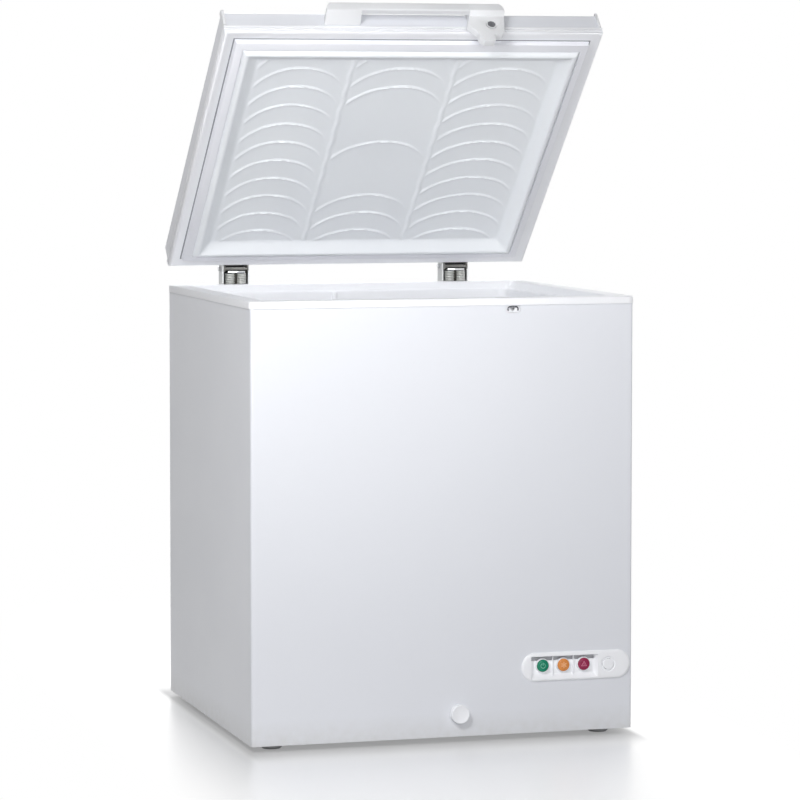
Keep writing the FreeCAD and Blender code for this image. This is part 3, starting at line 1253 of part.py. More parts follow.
def make_hinge_leaf(side):
    """The lid's half: a plate on the lid's back edge, two arms and the crank pin."""
    middle = "%d * hinge_x" % side
    name = hinge_name(side, "leaf")
    half = "hinge_width / 2 - hinge_gauge - leaf_gap"
    back_face = "%s + lid_bead_proud + fit_gap" % RIM_Y
    arm = [(back_face, PIVOT_Z + " - leaf_eye"), (PIVOT_Y, PIVOT_Z + " - leaf_eye"),
           ("%s + leaf_eye * 0.75" % PIVOT_Y, PIVOT_Z + " - leaf_eye * 0.6"),
           ("%s + leaf_eye" % PIVOT_Y, PIVOT_Z),
           ("%s + leaf_eye * 0.7" % PIVOT_Y, PIVOT_Z + " + leaf_eye * 0.7"),
           (PIVOT_Y, PIVOT_Z + " + leaf_eye"), (back_face, PIVOT_Z + " + leaf_rise")]
    solids = []
    for hand in (-1, 1):
        low = "%s + %d * (%s) - %s" % (middle, hand, half, "leaf_gauge" if hand > 0 else "0")
        body = new_body("%s_arm_%d" % (name, hand + 1))
        pad(body, outline(body, "%s_arm_profile_%d" % (name, hand + 1), "YZ_Plane", arm, low), "leaf_gauge")
        lug = rod("%s_lug_%d" % (name, hand + 1), "crank_pin_radius + crank_lug", (low,) + CRANK,
                  "leaf_gauge", "x")
        web = box("%s_web_%d" % (name, hand + 1), (low, low + " + leaf_gauge"),
                  ("%s - 3" % CRANK[0], PIVOT_Y), (CRANK[1], PIVOT_Z + " - leaf_eye + 1"))
        solids += [body, lug, web]
    plate = box(name + "_plate", ("%s - (%s)" % (middle, half), "%s + (%s)" % (middle, half)),
                (back_face, back_face + " + leaf_gauge"),
                (PIVOT_Z + " - leaf_eye", PIVOT_Z + " + leaf_rise"))
    solids.append(plate)
    pin_hole = rod(name + "_pin_hole", "pin_radius + pin_clearance",
                   (middle + " - hinge_width", PIVOT_Y, PIVOT_Z), "2 * hinge_width", "x")
    crank_pin = rod(name + "_crank_pin", "crank_pin_radius", ("%s - (%s)" % (middle, half),) + CRANK,
                    "2 * (%s)" % half, "x")
    drilled = cut(name + "_drilled", fuse(name + "_solid", *solids), pin_hole)
    keep_on_lid(fuse(name + "_final", drilled, crank_pin), name)


def make_hinge_follower(side):
    """The spring's pressure plate and its guide rod, just under the crank pin."""
    middle = "%d * hinge_x" % side
    name = hinge_name(side, "follower")
    top = "(%s - crank_pin_radius - follower_gap)" % PIVOT_Z
    y = follower_y()
    head = box(name + "_head", (middle + " - follower_width / 2", middle + " + follower_width / 2"),
               ("%s - follower_depth / 2" % y, "%s + follower_depth / 2" % y),
               (top + " - follower_thickness", top))
    stem = rod(name + "_stem", "rod_radius", (middle, y, "%s - rod_length" % top), "rod_length - 1")
    keep(fuse(name + "_whole", head, stem), name)


def make_hinge_springs(side):
    """Two coils side by side between the guide plate and the pressure plate."""
    name = hinge_name(side, "springs")
    top = value("%s - crank_pin_radius - follower_gap - follower_thickness - fit_gap" % PIVOT_Z)
    low = value("%s - guide_drop + fit_gap" % PIVOT_Z)
    coils = []
    for hand in (-1, 1):
        x = value("%d * hinge_x + %d * spring_offset" % (side, hand))
        coils.append(coil(FreeCAD.Vector(x, value(follower_y()), 0), low, top))
    springs = doc.addObject("Part::Feature", name + "_coils")
    springs.Shape = Part.makeCompound(coils)
    keep(springs, name)


def coil(centre, low, top):
    """A square-wire coil of flat facets from low to top."""
    sides = 8
    turns = int(value("spring_turns"))
    wire = value("spring_wire")
    outer = value("spring_radius")
    rise = (top - low - wire) / (turns * sides)
    rings = []
    for step in range(turns * sides + 1):
        angle = 2 * math.pi * step / sides
        height = low + rise * step
        corners = []
        for radius, lift in ((outer - wire, 0), (outer, 0), (outer, wire), (outer - wire, wire)):
            corners.append(centre + FreeCAD.Vector(
                radius * math.cos(angle), radius * math.sin(angle), height + lift))
        rings.append(corners)
    faces = [flat_face(rings[0]), flat_face(list(reversed(rings[-1])))]
    for lower, upper in zip(rings, rings[1:]):
        for index in range(4):
            after = (index + 1) % 4
            faces.append(flat_face([lower[index], upper[index], upper[after]]))
            faces.append(flat_face([lower[index], upper[after], lower[after]]))
    solid = Part.Solid(Part.Shell(faces))
    if solid.Volume < 0:
        solid.reverse()
    return solid


def flat_face(corners):
    return Part.Face(Part.makePolygon(corners + [corners[0]]))


def build():
    make_outer_wrap()
    make_rear_panel()
    make_rear_cover()
    make_base_tray()
    make_feet()
    make_liner()
    make_foam()
    make_rim()
    make_conduit()
    make_bezel()
    make_lamps()
    make_lamp_board()
    make_thermostat()
    make_control_box()
    make_drain()
    make_bulkhead()
    make_side_grille()
    make_compressor()
    make_refrigerant_tubes()
    make_lid_shell()
    make_lid_frame()
    make_gasket()
    make_lid_liner()
    make_lid_foam()
    make_corner_caps()
    make_handle()
    make_lock_housing()
    make_lock()
    make_keeper()
    for side in (-1, 1):
        make_hinge_base(side)
        make_hinge_pin(side)
        make_hinge_bush(side)
        make_hinge_leaf(side)
        make_hinge_follower(side)
        make_hinge_springs(side)
    doc.recompute()


def check():
    """Stop if any object failed or any sub-part is empty or not valid."""
    failed = [item.Name for item in doc.Objects if "Invalid" in item.State or "Error" in item.State]
    if failed:
        raise RuntimeError("failed: " + ", ".join(failed))
    for node, item in NODES.items():
        if item.Shape.isNull() or not item.Shape.isValid() or not item.Shape.Solids:
            raise RuntimeError("%s has no valid solid" % node)


def export():
    os.makedirs("parts", exist_ok=True)
    for node, item in NODES.items():
        item.Shape.exportStep(os.path.join("parts", node + ".step"))


build()
check()
export()
print("%d sub-parts written" % len(NODES))
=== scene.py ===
import json
import math
import bmesh
import bpy
import numpy as np
from mathutils import Matrix, Vector

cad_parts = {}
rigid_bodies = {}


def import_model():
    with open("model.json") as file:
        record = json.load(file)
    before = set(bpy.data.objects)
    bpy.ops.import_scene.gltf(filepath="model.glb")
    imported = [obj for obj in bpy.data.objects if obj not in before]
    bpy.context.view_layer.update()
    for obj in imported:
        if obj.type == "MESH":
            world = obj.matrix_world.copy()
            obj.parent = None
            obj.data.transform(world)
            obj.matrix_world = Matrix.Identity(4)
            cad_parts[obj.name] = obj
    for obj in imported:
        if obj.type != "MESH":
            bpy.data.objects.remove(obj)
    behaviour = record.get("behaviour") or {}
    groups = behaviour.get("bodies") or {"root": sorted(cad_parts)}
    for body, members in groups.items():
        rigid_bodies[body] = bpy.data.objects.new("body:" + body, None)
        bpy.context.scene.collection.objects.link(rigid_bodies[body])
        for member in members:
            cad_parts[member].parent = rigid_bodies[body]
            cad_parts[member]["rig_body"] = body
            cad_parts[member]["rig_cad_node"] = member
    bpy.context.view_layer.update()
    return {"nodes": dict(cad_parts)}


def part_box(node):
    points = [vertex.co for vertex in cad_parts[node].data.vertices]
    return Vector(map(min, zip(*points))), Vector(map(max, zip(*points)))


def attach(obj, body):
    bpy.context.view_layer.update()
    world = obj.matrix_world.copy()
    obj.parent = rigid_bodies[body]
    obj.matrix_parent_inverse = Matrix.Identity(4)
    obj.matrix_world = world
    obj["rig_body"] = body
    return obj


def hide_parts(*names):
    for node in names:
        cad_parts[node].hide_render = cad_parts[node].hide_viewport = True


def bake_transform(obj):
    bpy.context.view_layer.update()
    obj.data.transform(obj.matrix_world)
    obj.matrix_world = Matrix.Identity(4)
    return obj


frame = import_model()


# Photographer's camera
# A long lens to the front left of the freezer, about 1.2 m above the floor, tipped slightly down.
# The place and the lens come from the corners of cabinet and lid in the picture.
camera_data = bpy.data.cameras.new("camera")
camera_data.lens = 155.3
camera_data.sensor_width = 36.0
camera_data.shift_x = 0.0224
camera_data.shift_y = -0.0998
camera_data.clip_end = 60.0
camera = bpy.data.objects.new("camera", camera_data)
camera.location = (-1.9528, -6.5835, 1.1925)
camera.rotation_euler = (math.radians(86.64), 0.0, math.radians(-16.36))
bpy.context.collection.objects.link(camera)
bpy.context.scene.camera = camera


# Studio
# Seamless white paper on the floor, which shows the freezer faintly mirrored. A key lamp and a near
# lamp stand on the left, a wide soft lamp in front, one behind and one on the right, and a small one
# is aimed into the lid.
def area_lamp(name, place, aim, size, watts, spread=180.0):
    """A round lamp at a place, aimed at a point, with its power in watts."""
    lamp = bpy.data.lights.new(name, "AREA")
    lamp.shape = "DISK"
    lamp.size = size
    lamp.energy = watts
    lamp.spread = math.radians(spread)
    holder = bpy.data.objects.new(name, lamp)
    holder.location = place
    holder.rotation_euler = (Vector(aim) - Vector(place)).to_track_quat("-Z", "Y").to_euler()
    bpy.context.collection.objects.link(holder)


area_lamp("key_lamp", (-2.4, -3.4, 3.6), (0.0, -0.3, 0.7), 1.2, 60)
area_lamp("near_lamp", (-1.3, -1.6, 1.6), (-0.2, 0.0, 0.6), 0.8, 16)
area_lamp("front_lamp", (0.2, -6.0, 1.6), (0.0, -0.3, 0.6), 3.0, 104)
area_lamp("lid_lamp", (-0.6, -2.6, 0.75), (0.0, 0.1, 1.2), 0.7, 1.0, spread=46.0)
area_lamp("back_lamp", (0.5, 3.2, 3.6), (0.0, 0.0, 0.9), 2.0, 84)
area_lamp("right_lamp", (3.6, 0.9, 1.9), (0.0, 0.2, 0.5), 2.0, 46)


def combine(tree, operation, one, other):
    """Two amounts put together by one step of arithmetic."""
    step = tree.nodes.new("ShaderNodeMath")
    step.operation = operation
    tree.links.new(one, step.inputs[0])
    tree.links.new(other, step.inputs[1])
    return step.outputs[0]


def blend_shaders(tree, share, one, other):
    """The first shader where the share is nought, and the other where it is one."""
    mix = tree.nodes.new("ShaderNodeMixShader")
    tree.links.new(share, mix.inputs[0])
    tree.links.new(one, mix.inputs[1])
    tree.links.new(other, mix.inputs[2])
    return mix.outputs[0]


def glow(tree, kind, colour, strength):
    """Light of one colour, from the air or from the paper itself."""
    source = tree.nodes.new(kind)
    source.inputs["Color"].default_value = colour
    source.inputs["Strength"].default_value = strength
    return source.outputs[0]


def seen_directly(tree):
    """One for a ray from the camera, a mirror or glass, and nought for light that falls on the freezer."""
    rays = tree.nodes.new("ShaderNodeLightPath").outputs
    mirrored = combine(tree, "MAXIMUM", rays["Is Glossy Ray"], rays["Is Transmission Ray"])
    return combine(tree, "MAXIMUM", rays["Is Camera Ray"], mirrored)


pure_white = (1.0, 1.0, 1.0, 1.0)
air = bpy.data.worlds.new("studio_air")
air.use_nodes = True
bpy.context.scene.world = air
tree = air.node_tree
tree.nodes.clear()
ambient = glow(tree, "ShaderNodeBackground", (0.93, 0.96, 1.0, 1.0), 0.05)
backdrop = glow(tree, "ShaderNodeBackground", pure_white, 1.0)
world_output = tree.nodes.new("ShaderNodeOutputWorld")
tree.links.new(blend_shaders(tree, seen_directly(tree), ambient, backdrop), world_output.inputs["Surface"])


def ramp(tree, amount, start, end, low=0.0, high=1.0, soft=False):
    """An amount between start and end, turned to one between low and high."""
    step = tree.nodes.new("ShaderNodeMapRange")
    step.interpolation_type = "SMOOTHSTEP" if soft else "LINEAR"
    step.inputs["From Min"].default_value = start
    step.inputs["From Max"].default_value = end
    step.inputs["To Min"].default_value = low
    step.inputs["To Max"].default_value = high
    tree.links.new(amount, step.inputs["Value"])
    return step.outputs["Result"]


def vector_step(tree, operation, source, value=(0.0, 0.0, 0.0)):
    """One step of the sum that finds how far a spot of paper lies from the freezer's foot."""
    step = tree.nodes.new("ShaderNodeVectorMath")
    step.operation = operation
    step.inputs[1].default_value = value
    tree.links.new(source, step.inputs[0])
    return step.outputs["Value" if operation == "LENGTH" else "Vector"]


bpy.ops.object.select_all(action="DESELECT")
bpy.ops.mesh.primitive_plane_add(size=40.0, location=(0.0, 0.0, 0.0))
floor = bpy.context.object
floor.name = "studio_floor"
paper = bpy.data.materials.new("seamless_paper")
paper.use_nodes = True
tree = paper.node_tree
tree.nodes.clear()
grain = tree.nodes.new("ShaderNodeTexNoise")
grain.inputs["Scale"].default_value = 180.0
relief = tree.nodes.new("ShaderNodeBump")
relief.inputs["Strength"].default_value = 0.03
matt = tree.nodes.new("ShaderNodeBsdfDiffuse")
matt.inputs["Color"].default_value = (0.55, 0.55, 0.555, 1.0)
tree.links.new(grain.outputs["Fac"], relief.inputs["Height"])
tree.links.new(relief.outputs["Normal"], matt.inputs["Normal"])

freezer_half_size = (0.38, 0.35, 0.0)
sides_count_more = (6.0, 1.0, 0.0)
spot = tree.nodes.new("ShaderNodeTexCoord").outputs["Object"]
beyond = vector_step(tree, "SUBTRACT", vector_step(tree, "ABSOLUTE", spot), freezer_half_size)
outside = vector_step(tree, "MAXIMUM", beyond)
away = vector_step(tree, "LENGTH", vector_step(tree, "MULTIPLY", outside, sides_count_more))
fade = ramp(tree, away, 0.0, 0.16, 0.3, 1.0, soft=True)
sheen = ramp(tree, away, 0.0, 1.4, 0.9, 0.0)
contact = ramp(tree, away, 0.02, 0.14, 0.15, 1.0)

seen = seen_directly(tree)
white_paper = glow(tree, "ShaderNodeEmission", pure_white, 1.0)
bright_paper = blend_shaders(tree, combine(tree, "MULTIPLY", seen, fade), matt.outputs[0], white_paper)
mirror = tree.nodes.new("ShaderNodeBsdfGlossy")
mirror.inputs["Color"].default_value = pure_white
mirror.inputs["Roughness"].default_value = 0.3
mirror_share = combine(tree, "MULTIPLY", seen, combine(tree, "MULTIPLY", sheen, contact))
paper_output = tree.nodes.new("ShaderNodeOutputMaterial")
paper_and_mirror = blend_shaders(tree, mirror_share, bright_paper, mirror.outputs[0])
tree.links.new(paper_and_mirror, paper_output.inputs["Surface"])
floor.data.materials.append(paper)
bpy.context.scene.view_settings.view_transform = "Standard"


# Cabinet sheet
# One steel sheet, painted white and then bent, is the front and both sides. Its stove enamel has a
# faint orange peel, and the foot of it takes the dust and scuffs of the floor.
def tint(red, green, blue):
    """A colour as a paint chart gives it, 0 to 255, turned to the renderer's own scale."""
    return tuple((part / 255 / 12.92 if part < 10 else ((part / 255 + 0.055) / 1.055) ** 2.4)
                 for part in (red, green, blue)) + (1.0,)


def cloud(tree, spot, scale, detail):
    """Soft patches over the surface, between nought and one."""
    patches = tree.nodes.new("ShaderNodeTexNoise")
    patches.inputs["Scale"].default_value = scale
    patches.inputs["Detail"].default_value = detail
    tree.links.new(spot, patches.inputs["Vector"])
    return patches.outputs["Fac"]


def colour_over(tree, amount, colour):
    """Lay a colour over the present one, by an amount that changes over the surface."""
    base = tree.nodes["Principled BSDF"].inputs["Base Color"]
    mix = tree.nodes.new("ShaderNodeMix")
    mix.data_type = "RGBA"
    mix.inputs["B"].default_value = colour
    if base.is_linked:
        tree.links.new(base.links[0].from_socket, mix.inputs["A"])
    else:
        mix.inputs["A"].default_value = base.default_value
    tree.links.new(amount, mix.inputs["Factor"])
    tree.links.new(mix.outputs["Result"], base)


def emboss(tree, height, strength, distance):
    """Give the surface the relief of a pattern."""
    bump = tree.nodes.new("ShaderNodeBump")
    bump.inputs["Strength"].default_value = strength
    bump.inputs["Distance"].default_value = distance
    tree.links.new(height, bump.inputs["Height"])
    tree.links.new(bump.outputs["Normal"], tree.nodes["Principled BSDF"].inputs["Normal"])


def finish(name, fresh, worn, roughness, grain, relief, metallic=0.0, stretch=(1.0, 1.0, 1.0),
           coat=0.0, patch=5.0):
    """A finish whose colour drifts from fresh to worn in patches, with a fine relief and uneven gloss."""
    made = bpy.data.materials.new(name)
    made.use_nodes = True
    tree = made.node_tree
    shader = tree.nodes["Principled BSDF"]
    shader.inputs["Base Color"].default_value = fresh
    shader.inputs["Metallic"].default_value = metallic
    shader.inputs["Coat Weight"].default_value = coat
    shader.inputs["Coat Roughness"].default_value = 0.12
    turn = tree.nodes.new("ShaderNodeMapping")
    turn.inputs["Scale"].default_value = stretch
    tree.links.new(tree.nodes.new("ShaderNodeTexCoord").outputs["Object"], turn.inputs["Vector"])
    spot = turn.outputs["Vector"]
    colour_over(tree, ramp(tree, cloud(tree, spot, patch, 1.0), 0.1, 0.9, soft=True), worn)
    gloss = ramp(tree, cloud(tree, spot, 9.0, 1.0), 0.0, 1.0, roughness * 0.85, min(1.0, roughness * 1.2))
    tree.links.new(gloss, shader.inputs["Roughness"])
    emboss(tree, cloud(tree, spot, grain, 2.0), relief, 0.00015)
    return made


def dust_near_floor(made, dusty, low, high):
    """The colour turns dusty towards the floor, between two heights."""
    tree = made.node_tree
    spot = tree.nodes.new("ShaderNodeTexCoord").outputs["Object"]
    split = tree.nodes.new("ShaderNodeSeparateXYZ")
    tree.links.new(spot, split.inputs["Vector"])
    depth = ramp(tree, split.outputs["Z"], high, low)
    colour_over(tree, combine(tree, "MULTIPLY", depth, cloud(tree, spot, 60.0, 5.0)), dusty)


def paint(made, *names):
    """Give CAD nodes a finish."""
    for name in names:
        for slot in frame["nodes"][name].material_slots:
            slot.material = made


enamel = finish("stove_enamel", tint(228, 230, 236), tint(225, 227, 233), 0.35, 900.0, 0.012, coat=0.2,
                patch=1.6)
dust_near_floor(enamel, tint(205, 205, 203), 0.0, 0.06)
paint(enamel, "outer_wrap")


# Back sheet, rear cover, tray and compressor rails
# Plain zinc-coated steel, cut and folded; the spangle and the rolling marks of the coating show.
# The sheets are riveted inside the folds of the cabinet, and the cover has hex-headed tapping screws.
def at(x, y, z):
    """A place given in millimetres from the middle of the cabinet, in the frame's metres."""
    return Vector((x / 1000, (y - 15.5) / 1000, z / 1000))


def zinc_spangle(made):
    """Crystals of the zinc bath, each a little lighter or darker than the next."""
    tree = made.node_tree
    crystal = tree.nodes.new("ShaderNodeTexVoronoi")
    crystal.inputs["Scale"].default_value = 85.0
    tree.links.new(tree.nodes.new("ShaderNodeTexCoord").outputs["Object"], crystal.inputs["Vector"])
    tone = tree.nodes.new("ShaderNodeSeparateColor")
    tree.links.new(crystal.outputs["Color"], tone.inputs["Color"])
    colour_over(tree, ramp(tree, tone.outputs["Red"], 0.0, 1.0, 0.0, 0.35), tint(168, 172, 177))


zinc = finish("zinc_coated_steel", tint(205, 207, 210), tint(186, 188, 191), 0.42, 500.0, 0.06,
              metallic=0.75, stretch=(1.0, 1.0, 0.25))
zinc_spangle(zinc)
paint(zinc, "rear_panel", "rear_cover", "base_tray", "machine_bulkhead", "compressor_rails")

screw_steel = finish("plated_screw", tint(196, 197, 198), tint(160, 158, 150), 0.22, 1500.0, 0.08,
                     metallic=1.0)


def settle(piece, made, body, *nodes, angle=35):
    """Fix the piece's place in its mesh, finish it and let it ride on its body."""
    bpy.ops.object.select_all(action="DESELECT")
    piece.select_set(True)
    bpy.context.view_layer.objects.active = piece
    bpy.ops.object.transform_apply(location=True, rotation=True, scale=True)
    bpy.ops.object.shade_smooth_by_angle(angle=math.radians(angle))
    piece.data.materials.clear()
    piece.data.materials.append(made)
    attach(piece, body)
    if nodes:
        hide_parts(*nodes)
    return piece


def joined(pieces, name):
    """Several meshes made into one."""
    bpy.ops.object.select_all(action="DESELECT")
    for piece in pieces:
        piece.select_set(True)
    bpy.context.view_layer.objects.active = pieces[0]
    bpy.ops.object.join()
    whole = bpy.context.object
    whole.name = name
    return whole


def hex_screw(name, place, radius, height):
    """A hexagon head with a washer face, modelled facing the back."""
    facing_back = (math.radians(-90), 0, 0)
    bpy.ops.object.select_all(action="DESELECT")
    bpy.ops.mesh.primitive_cylinder_add(vertices=24, radius=radius * 1.35, depth=height * 0.35,
                                        location=place + Vector((0, height * 0.175, 0)), rotation=facing_back)
    washer = bpy.context.object
    bpy.ops.mesh.primitive_cylinder_add(vertices=6, radius=radius, depth=height,
                                        location=place + Vector((0, height * 0.5, 0)), rotation=facing_back)
    head = bpy.context.object
    bpy.ops.object.mode_set(mode="EDIT")
    bpy.ops.mesh.select_all(action="SELECT")
    bpy.ops.mesh.bevel(offset=radius * 0.12, segments=2)
    bpy.ops.object.mode_set(mode="OBJECT")
    return joined([head, washer], name)


cover_low, cover_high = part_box("rear_cover")
from_end, from_side = 0.010, 0.007
head_radius, head_height = 0.0035, 0.0028
screw_rows = [cover_low.z + from_end, (cover_low.z + cover_high.z) / 2, cover_high.z - from_end]
screw_columns = [cover_low.x + from_side, cover_high.x - from_side]
first_place = Vector((screw_columns[0], cover_high.y, screw_rows[0]))
first_screw = hex_screw("cover_screw_0_0", first_place, head_radius, head_height)
settle(first_screw, screw_steel, "cabinet")
for row, height in enumerate(screw_rows):
    for column, across in enumerate(screw_columns):
        place = Vector((across, cover_high.y, height))
        if place == first_place:
            continue
        twin = first_screw.copy()
        twin.data = first_screw.data.copy()
        twin.data.transform(Matrix.Translation(place - first_place))
        twin.name = "cover_screw_%d_%d" % (row, column)
        bpy.context.collection.objects.link(twin)
        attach(twin, "cabinet")


# Cord gland and feet
# The gland is a black nylon bush that snaps into the rear cover; the feet are pale grey glides
# pressed through the tray. Both are moulded, with the dull skin of a spark-eroded tool.
nylon = finish("black_nylon", tint(34, 34, 36), tint(46, 46, 48), 0.5, 1800.0, 0.12)
paint(nylon, "cable_gland")
glide_grey = finish("glide_grey", tint(176, 177, 180), tint(150, 149, 146), 0.6, 1400.0, 0.15)
paint(glide_grey, "foot_front_left", "foot_front_right", "foot_rear_left", "foot_rear_right")


# Storage well
# The tank is coated aluminium sheet, folded, with a raised step on the right. The foam is poured
# between it and the cabinet and only shows where the machine bay is open.
tank_enamel = finish("tank_coating", tint(251, 252, 255), tint(247, 248, 252), 0.36, 260.0, 0.05, coat=0.15)
paint(tank_enamel, "inner_liner")
foam = finish("poured_foam", tint(232, 219, 170), tint(214, 194, 132), 0.85, 420.0, 0.5, patch=14.0)
paint(foam, "foam_insulation")


# Top rim
# A white plastic frame snaps over the top of the walls: a skirt outside, a flat top with soft
# edges for the gasket to lie on, and a flare that runs down into the well. The strip that covers the
# sensor's tube in the well is the same plastic.
def ring(name, half_x, half_y, section, corner=0.0):
    """A closed frame about the middle; section goes once round its profile as (inset, height) in mm."""
    bpy.ops.object.select_all(action="DESELECT")
    inset, height = section[0]
    middle = at(0, 0, height)
    bpy.ops.mesh.primitive_plane_add(size=1.0, location=middle)
    piece = bpy.context.object
    piece.name = name
    bpy.ops.object.mode_set(mode="EDIT")
    bpy.ops.mesh.select_mode(type="EDGE")
    bpy.ops.mesh.select_all(action="SELECT")
    bpy.ops.transform.resize(value=((half_x - inset) / 500, (half_y - inset) / 500, 1.0),
                             center_override=middle)
    if corner:
        bpy.ops.mesh.select_mode(type="VERT")
        bpy.ops.mesh.select_all(action="SELECT")
        bpy.ops.mesh.bevel(offset=corner / 1000, segments=8, affect="VERTICES")
        bpy.ops.mesh.select_mode(type="EDGE")
    bpy.ops.mesh.select_all(action="SELECT")
    bpy.ops.mesh.delete(type="ONLY_FACE")
    bpy.ops.mesh.select_all(action="SELECT")
    for (inset, height), (next_inset, next_height) in zip(section, section[1:]):
        rise = (0, 0, (next_height - height) / 1000)
        bpy.ops.mesh.extrude_edges_move(TRANSFORM_OT_translate={"value": rise})
        bpy.ops.transform.resize(value=((half_x - next_inset) / (half_x - inset),
                                        (half_y - next_inset) / (half_y - inset), 1.0),
                                 center_override=at(0, 0, next_height))
    bpy.ops.mesh.select_all(action="DESELECT")
    bpy.ops.mesh.select_non_manifold(extend=False)
    bpy.ops.mesh.bridge_edge_loops()
    bpy.ops.mesh.select_all(action="SELECT")
    bpy.ops.mesh.normals_make_consistent(inside=False)
    bpy.ops.object.mode_set(mode="OBJECT")
    return piece


rim_plastic = finish("rim_plastic", tint(250, 251, 254), tint(246, 247, 251), 0.36, 1600.0, 0.05)
rim_half_x, rim_half_y = 382.5, 340.5
top_rim = ring("rim_moulding", rim_half_x, rim_half_y, [
    (0.0, 836.0), (0.0, 847.2), (0.25, 848.5), (0.9, 849.4), (1.9, 849.9), (3.2, 850.0),
    (33.2, 850.0), (34.6, 849.8), (35.6, 849.2), (36.4, 848.2), (37.2, 847.0), (44.4, 838.0),
    (44.6, 837.0), (45.8, 836.8), (47.2, 836.2), (48.0, 835.2), (48.0, 834.0), (47.2, 833.4), (45.6, 833.4),
    (44.0, 834.6), (35.2, 847.2), (33.6, 848.0), (3.2, 848.0), (2.0, 846.8), (2.0, 836.0)],
    corner=12.0)
settle(top_rim, rim_plastic, "cabinet", "top_rim")
paint(rim_plastic, "sensor_conduit")


# Lid pan
# The outside of the lid is a pressed steel pan in the same white enamel as the cabinet.
# It is filled with foam and closed from below by the plastic frame and the inner panel.
paint(enamel, "lid_shell")
paint(foam, "lid_foam")
lid_pivot = at(0, 370.5, 880.3)
open_lid = (Matrix.Translation(lid_pivot) @ Matrix.Rotation(math.radians(-43.5), 4, "X")
            @ Matrix.Translation(-lid_pivot))


def on_lid(piece, made, *nodes, body="lid", angle=35):
    """Turn a piece that was made on the closed lid to the open pose and settle it there."""
    piece.matrix_world = open_lid @ piece.matrix_world
    return settle(piece, made, body, *nodes, angle=angle)


# Lid frame
# Four mitred lengths of extruded plastic, welded at the corners, hold pan and inner panel together.
# Two rounded beads run round the outside over a sharp groove, and the lip below leans inwards.
lid_plastic = finish("lid_plastic", tint(245, 246, 249), tint(241, 242, 246), 0.36, 1300.0, 0.05)
lid_frame = ring("lid_frame_moulding", rim_half_x, rim_half_y, [
    (20.5, 879.3), (20.5, 864.4), (20.3, 863.8), (19.6, 863.5), (13.4, 863.5), (12.4, 863.2), (6.2, 861.6),
    (4.6, 861.5), (2.4, 862.2), (0.9, 863.3), (0.1, 864.6), (0.3, 865.4), (1.2, 865.8), (3.4, 865.9),
    (3.4, 867.6), (0.6, 867.7), (-0.5, 868.1), (-0.9, 868.9), (-1.0, 870.0), (-0.9, 871.2), (-0.5, 872.0),
    (0.4, 872.4), (2.6, 872.5), (2.6, 873.9), (0.4, 874.0), (-0.5, 874.3), (-0.9, 875.2), (-1.0, 876.4),
    (-0.9, 877.8), (-0.5, 878.8), (0.2, 879.2), (1.0, 879.4)])
on_lid(lid_frame, lid_plastic, "lid_frame")


# Lid gasket
# A soft grey bellows of flexible plastic with a magnet strip in its nose, pushed into the groove
# between frame and inner panel.
gasket_rubber = finish("gasket_rubber", tint(240, 241, 246), tint(232, 233, 239), 0.5, 700.0, 0.12)
gasket = ring("lid_gasket_bellows", rim_half_x, rim_half_y, [
    (41.0, 864.9), (41.0, 852.4), (40.6, 850.9), (39.4, 850.4), (34.0, 851.6), (27.5, 853.4), (25.4, 854.3),
    (24.9, 855.6), (25.4, 856.8), (26.0, 857.4), (24.6, 858.4), (24.4, 859.6), (25.6, 860.6), (23.9, 861.6),
    (23.5, 862.8), (23.4, 864.2), (20.6, 864.2), (20.6, 864.9)])
# The faces along the groove's floor take a darker grey: painted shade for the shadow in the groove between
# frame and inner panel.
groove_height = at(0, 0, 864.2).z
painted_shade_faces = [face.index for face in gasket.data.polygons
                if abs((gasket.matrix_world @ face.center).z - groove_height) < 0.0002]
on_lid(gasket, gasket_rubber, "lid_gasket")
groove_painted_shade = finish("groove_painted_shade", tint(158, 159, 165), tint(140, 141, 147), 0.6, 700.0, 0.12)
gasket.data.materials.append(groove_painted_shade)
for index in painted_shade_faces:
    gasket.data.polygons[index].material_index = 1


# Lid liner
# The inside of the lid is one vacuum-formed sheet: a raised ridge all round, and inside it a flat
# panel with two soft trunks and columns of arcs pressed in, like branches, that stiffen it.
panel_plastic = finish("panel_plastic", tint(243, 246, 249), tint(239, 242, 246), 0.36, 1100.0, 0.04)
ridge_section = [(41.3, 9.8), (41.8, 10.6), (43.2, 12.4), (44.6, 14.2), (46.0, 15.8), (47.4, 17.0),
                 (48.8, 17.7), (50.4, 18.0), (52.0, 17.9), (53.4, 17.4), (54.8, 16.4), (56.4, 15.0),
                 (60.0, 11.8), (65.0, 7.7), (69.0, 4.6), (72.0, 2.5), (74.0, 1.4), (76.0, 0.5), (78.0, 0.0)]
ridge_insets = [inset for inset, proud in ridge_section]
ridge_heights = [proud for inset, proud in ridge_section]


def liner_lines(half, count):
    """Grid lines across the liner: close together over the ridge, even over the panel."""
    inner = half - ridge_insets[-1]
    panel = np.linspace(-inner, inner, count)
    ridge = np.array([half - inset for inset in ridge_insets[:-1]])
    return np.concatenate([-ridge, panel, ridge[::-1]])


arc_tops = [633.0, 581.0, 530.0, 478.0, 424.0, 372.0, 319.0, 266.0, 214.0, 161.5, 108.5]
arc_columns = [(-213.0, 85.0, range(0, 11)), (0.0, 102.0, (0, 1, 2, 5, 8, 9, 10)),
               (214.0, 106.0, range(0, 11))]
arc_right_reach, arc_right_drop, arc_left_drop = 98.0, 80.0, 103.0
trunks = (-110.0, 102.0)


def smooth_step(amount):
    """Nought to one without a kink at either end."""
    return amount * amount * (3 - 2 * amount)


